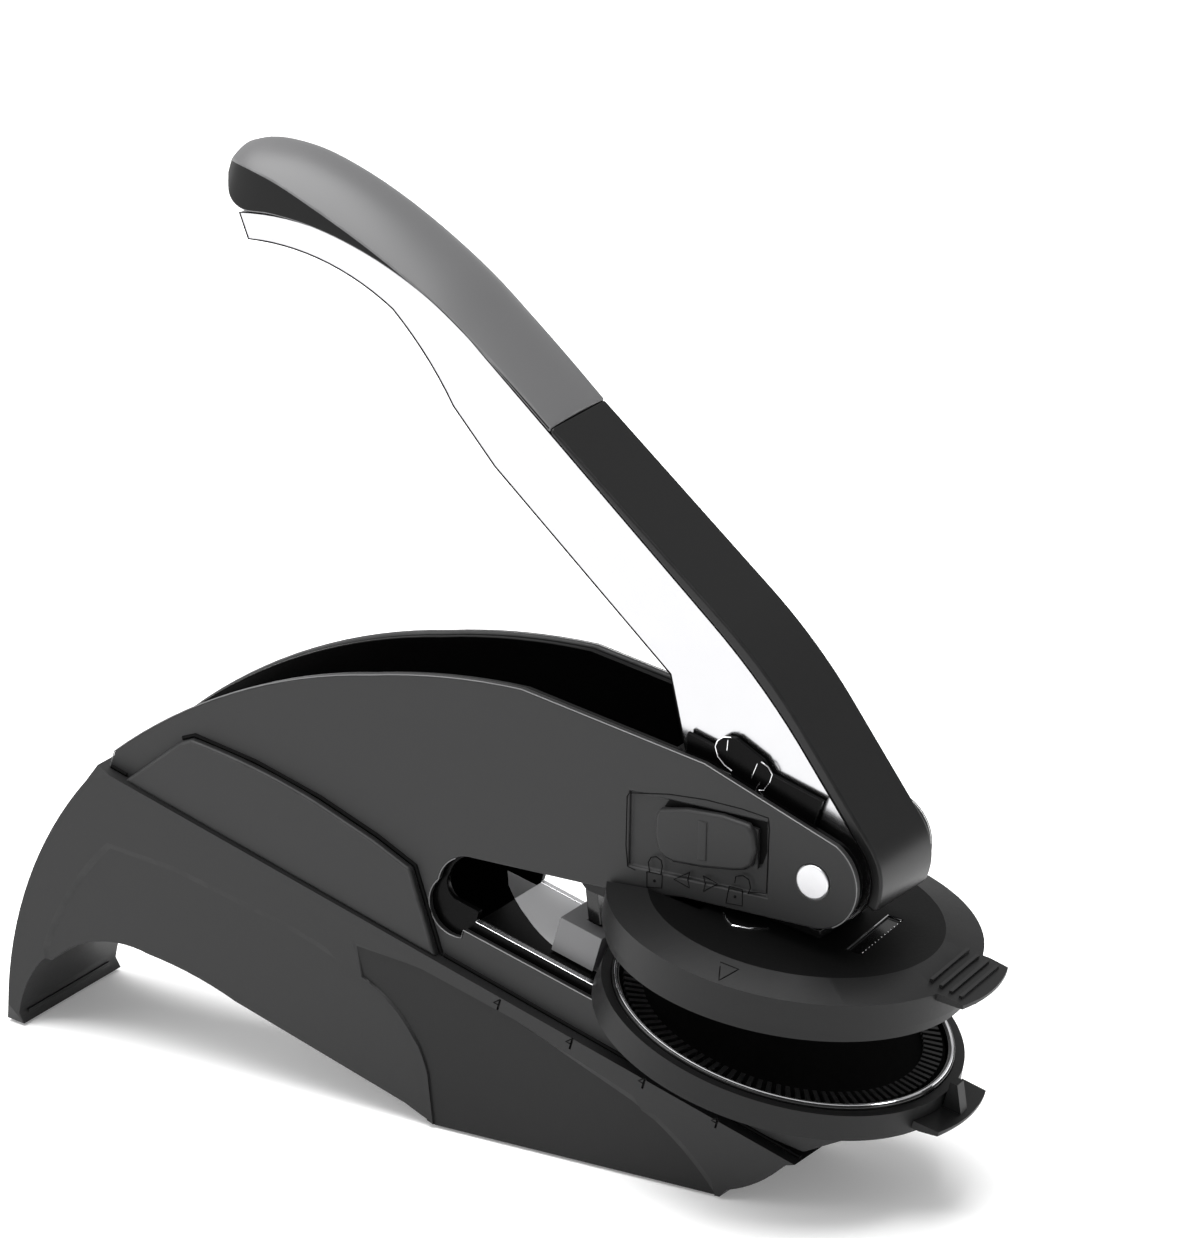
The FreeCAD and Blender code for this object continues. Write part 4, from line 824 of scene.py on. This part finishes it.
def makeRing(look):             # polished ring painted dark as the dark surroundings it reflects, with one bright rounded line
    bm = mergedCopy("lower_ring")
    softenEdges(bm, look["ringEdge"], 3)
    finishPiece("innerRing", "insert", bm, "gloss", ["lower_ring"])
    bm = bmesh.new()
    profile = bmesh.ops.create_circle(bm, cap_ends=False, radius=look["lineThick"] * mm, segments=10)["verts"]
    place = (Matrix.Translation((look["lineRadius"] * mm, 0, look["lineHigh"] * mm))
             @ Matrix.Rotation(math.radians(90), 4, "X"))
    bmesh.ops.transform(bm, matrix=place, verts=profile)
    bmesh.ops.spin(bm, geom=list(bm.verts) + list(bm.edges), cent=(0, 0, 0), axis=(0, 0, 1), dvec=(0, 0, 0),
                   angle=math.radians(360), steps=look["lineSteps"], use_merge=True, use_duplicate=False)
    bmesh.ops.remove_doubles(bm, verts=bm.verts, dist=0.000002)
    for vert in bm.verts:
        vert.co = diePoint(vert.co.x / mm, vert.co.y / mm, vert.co.z / mm)
    bmesh.ops.recalc_face_normals(bm, faces=bm.faces)
    finishPiece("brightLine", "insert", bm, "ring", normals=False)


def makeLowerDie(look):
    bm = mergedCopy("lower_die")
    softenEdges(bm, look["toothEdge"], 1, clamp=True)
    # the teeth round the rim take a lighter paint: a painted highlight on the serrations
    for face in bm.faces:
        middle = face.calc_center_median()
        x, z = dieFrame(middle)
        if z > look["toothLow"] and math.hypot(x, middle.y / mm) > look["toothRadius"]:
            face.material_index = 2
    finishPiece("lowerDie", "insert", bm, "die", ["lower_die"], more=["serrationHighlight"])


makeLowerHolder(lowerLook)
makeRing(lowerLook)
makeLowerDie(lowerLook)
softCopy("hingeStrap", "insert_strap", "strap", "gloss", 0.15)
paintNode("insert_pin", "steel")

# Upper half: one skin over holder and cap, a metal clip in its slot, and a mark on the rim
upperLook = {"softEdge": 0.16, "crownFace": 1.4, "clipX": (11.3, 13.5), "clipHalf": 7.0, "clipLine": 0.11,
             "beads": 13, "beadRadius": 0.13, "rimRadius": 27.4, "rimWide": 5.8,
             "mark": [(0.71, -23.06), (3.66, -22.95), (2.68, -26.6)], "markLine": 0.1,
             "leaf": [(-6.6, -9.9), (-5.25, -11.4), (-3.6, -12.5), (-1.45, -11.6), (0.46, -9.0)],
             "leafLine": 0.12}


def makeUpperHolder(look):
    bm = unionOf("upper_holder", "upper_cap")
    softenEdges(bm, look["softEdge"], 3, 28, clamp=True)
    # the crown face takes the darker paint: painted shade and dark reflection under the jaw
    for face in bm.faces:
        middle = face.calc_center_median() - topPoint(0, 0, look["crownFace"])
        if abs(middle.dot(topNormal)) < 0.00012 and face.normal.dot(topNormal) > 0.99:
            face.material_index = 2
    finishPiece("upperHolder", "upper", bm, "insert", ["upper_holder", "upper_cap"],
                sharpAngle=9, more=["crown"])


def makeClip(look):             # folded metal clip lying in the slot
    bm = bmesh.new()
    rear, front, half = look["clipX"][0], look["clipX"][1], look["clipHalf"]
    corners = [(rear, -half), (front, -half), (front, half), (rear, half)]
    high = look["crownFace"] - 0.5
    plateOf(bm, [topPoint(*swung(x, y), high) for x, y in corners], topNormal * 0.25 * mm)
    finishPiece("slotClip", "upper", bm, "gloss", normals=False)
    bm = bmesh.new()
    line = [(rear, -half), (rear, half), (front, half)]
    tubeAlong(bm, [topPoint(*swung(x, y), look["crownFace"] + 0.02) for x, y in line], look["clipLine"], 6)
    for number in range(look["beads"]):
        y = -half + 2 * half * (number + 0.5) / look["beads"]
        bead = bmesh.ops.create_icosphere(bm, subdivisions=1, radius=look["beadRadius"] * mm)["verts"]
        bmesh.ops.translate(bm, vec=topPoint(*swung(front, y), look["crownFace"] - 0.02), verts=bead)
    finishPiece("clipEdge", "upper", bm, "ring", normals=False)


def makeRimMark(look):          # a triangle that lies on the sloping rim
    def coneHigh(x, y):
        inside = look["rimRadius"] - math.hypot(x, y)
        return min(look["crownFace"], inside * look["crownFace"] / look["rimWide"])

    bm = bmesh.new()
    corners = look["mark"] + look["mark"][:1]
    points = []
    for (x0, y0), (x1, y1) in zip(corners, corners[1:]):
        for step in range(4):
            x, y = x0 + (x1 - x0) * step / 4, y0 + (y1 - y0) * step / 4
            points.append(topPoint(x, y, coneHigh(x, y)))
    tubeAlong(bm, points, look["markLine"], 6)
    finishPiece("rimMark", "upper", bm, "markAndShadeBlack", normals=False)


def makeLeafSpring(look):       # thin bright leaf under the jaw's edge
    bm = bmesh.new()
    tubeAlong(bm, [topPoint(x, y, look["crownFace"] + 0.05) for x, y in look["leaf"]], look["leafLine"], 6)
    finishPiece("leafSpring", "upper", bm, "ring", normals=False)


topNormal = (topPoint(0, 0, 1) - topPoint(0, 0, 0)).normalized()
makeUpperHolder(upperLook)
makeClip(upperLook)
makeRimMark(upperLook)
makeLeafSpring(upperLook)
softCopy("upperDie", "upper_die", "upper", "die", 0.15, 1)
print("insert done")

# Lock: button, a painted shadow round it, frame line and signs, and the latch bar with two hooks
lockLook = {
    "coverFace": -11.0, "shadowFace": -10.43, "buttonEdge": 0.6, "buttonBack": -11.04, "buttonFace": -12.1,
    "button": [(-14.29, 57.3), (-9.78, 58.2), (-4.11, 58.5), (0.2, 58.0), (1.1, 56.8), (1.5, 54.25),
               (0.9, 51.8), (-0.3, 50.9), (-1.91, 50.5), (-7.24, 49.8), (-11.93, 49.6), (-13.5, 50.1),
               (-14.5, 51.1), (-15.0, 53.45), (-14.9, 56.2)],
    "rib": (-7.8, 51.1, -6.4, 57.0), "ribFace": -11.9, "ribHigh": 0.4, "ribEdge": 0.15,
    "shadowOutline": [(-14.14, 51.0), (-14.3, 57.3), (-13.5, 58.5), (-10.7, 59.1), (-5.3, 59.45), (0.0, 58.9),
             (2.5, 58.5), (2.55, 53.8), (1.9, 51.9), (-1.9, 50.6)],
    "line": 0.09, "keyhole": 0.22, "keyholes": [(-15.45, 45.75), (-2.2, 46.2)],
    "signs": [   # frame line, closed padlock and its bow, two arrows, open padlock and its bow
        [(-18.6, 46.7), (-19.9, 47.0), (-20.25, 50.2), (-20.2, 57.7), (-19.8, 58.3), (-13.3, 59.45),
         (-7.3, 59.9), (-1.3, 59.75), (2.9, 59.3), (3.1, 57.7), (2.9, 47.8), (0.0, 47.4)],
        [(-16.72, 46.88), (-14.16, 46.93), (-14.23, 44.9), (-16.66, 44.52), (-16.72, 46.88)],
        [(-16.3, 47.0), (-16.5, 48.4), (-16.1, 49.2), (-15.2, 49.5), (-14.4, 49.1), (-14.2, 48.3),
         (-14.4, 47.0)],
        [(-9.69, 48.26), (-12.26, 46.69), (-9.64, 45.9), (-10.0, 47.1), (-9.69, 48.26)],
        [(-7.42, 48.25), (-5.08, 47.55), (-7.36, 45.89), (-7.1, 47.1), (-7.42, 48.25)],
        [(-3.19, 47.56), (-1.03, 47.52), (-0.97, 45.02), (-3.66, 44.93), (-3.19, 47.56)],
        [(-2.3, 48.3), (-2.15, 49.29), (-1.0, 49.7), (0.0, 49.26), (0.3, 48.07), (-0.1, 47.1)]]}


def makeLockButton(look):
    bm = mergedCopy("lock_button")
    for v in bm.verts:
        if v.co.y < look["coverFace"] * mm:      # the moulded cap covers the plain front
            v.co.y = (look["buttonBack"] - 0.1) * mm
    cap = plateOf(bm, [deskPoint(x, look["buttonBack"], z) for x, z in look["button"]],
                  Vector((0, (look["buttonFace"] - look["buttonBack"]) * mm, 0)))
    nearFace = look["buttonFace"] * mm + 0.0001
    softenEdges(bm, look["buttonEdge"], 4, 25,
                lambda e: all(v in cap and v.co.y < nearFace for v in e.verts), worn=False)
    x0, z0, x1, z1 = look["rib"]
    rib = plateOf(bm, [deskPoint(x, look["ribFace"], z) for x, z in ((x0, z0), (x1, z0), (x1, z1), (x0, z1))],
                  Vector((0, -look["ribHigh"] * mm, 0)))
    edges = [e for e in {e for v in rib for e in v.link_edges} if e.calc_face_angle(0) > 1
             and all(v.co.y < look["ribFace"] * mm - 0.0001 for v in e.verts)]
    bmesh.ops.bevel(bm, geom=edges, offset=look["ribEdge"] * mm, offset_type="OFFSET", segments=2,
                    profile=0.5, affect="EDGES", clamp_overlap=True, material=-1)
    finishPiece("lockButton", "lock", bm, "cover", ["lock_button"])


def makeLockShadow(look):
    # a near-black sheet above and right of the button: painted shadow of the gap round it
    bm = bmesh.new()
    plateOf(bm, [deskPoint(x, look["shadowFace"], z) for x, z in look["shadowOutline"]], Vector((0, 0.03 * mm, 0)))
    finishPiece("lockShadow", "frame", bm, "markAndShadeBlack", normals=False)


def makeLockSigns(look):        # frame line, closed and open padlocks, two arrows
    bm = bmesh.new()
    y = look["coverFace"]
    for points in look["signs"]:
        tubeAlong(bm, [deskPoint(x, y, z) for x, z in points], look["line"], 6)
    for x, z in look["keyholes"]:
        dot = bmesh.ops.create_icosphere(bm, subdivisions=2, radius=look["keyhole"] * mm)["verts"]
        bmesh.ops.translate(bm, vec=deskPoint(x, y, z), verts=dot)
    finishPiece("lockSigns", "frame", bm, "markAndShadeBlack", normals=False)


latchLook = {"face": -8.52, "softEdge": 0.12, "line": 0.11, "thinLine": 0.07,
             "hooks": [[(-4.58, 64.06), (-5.78, 64.7), (-6.9, 65.77), (-7.38, 67.22), (-6.97, 68.2),
                        (-6.02, 68.9), (-4.81, 69.1)],
                       [(0.16, 66.4), (1.3, 65.9), (2.0, 64.9), (1.6, 63.6), (0.72, 62.2),
                        (-0.68, 62.04), (0.1, 63.3)]],
             "thin": [[(-5.31, 68.6), (-5.44, 67.02)], [(-0.43, 66.04), (-1.38, 63.6)]]}


def makeLatch(look):
    bm = mergedCopy("latch_bar")
    softenEdges(bm, look["softEdge"], 2, 25)
    finishPiece("latchBar", "lock", bm, "blackSteel", ["latch_bar"])
    bm = bmesh.new()
    for points in look["hooks"]:
        tubeAlong(bm, [deskPoint(x, look["face"], z) for x, z in points], look["line"], 8)
    for points in look["thin"]:
        tubeAlong(bm, [deskPoint(x, look["face"], z) for x, z in points], look["thinLine"], 6)
    finishPiece("latchHooks", "lock", bm, "ring", normals=False)


makeLockButton(lockLook)
makeLockShadow(lockLook)
makeLockSigns(lockLook)
makeLatch(latchLook)
print("lock done")

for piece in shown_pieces():
    count = sum(len(p.vertices) - 2 for p in piece.data.polygons) if piece.type == "MESH" else 0
    print("piece", piece.name, count)
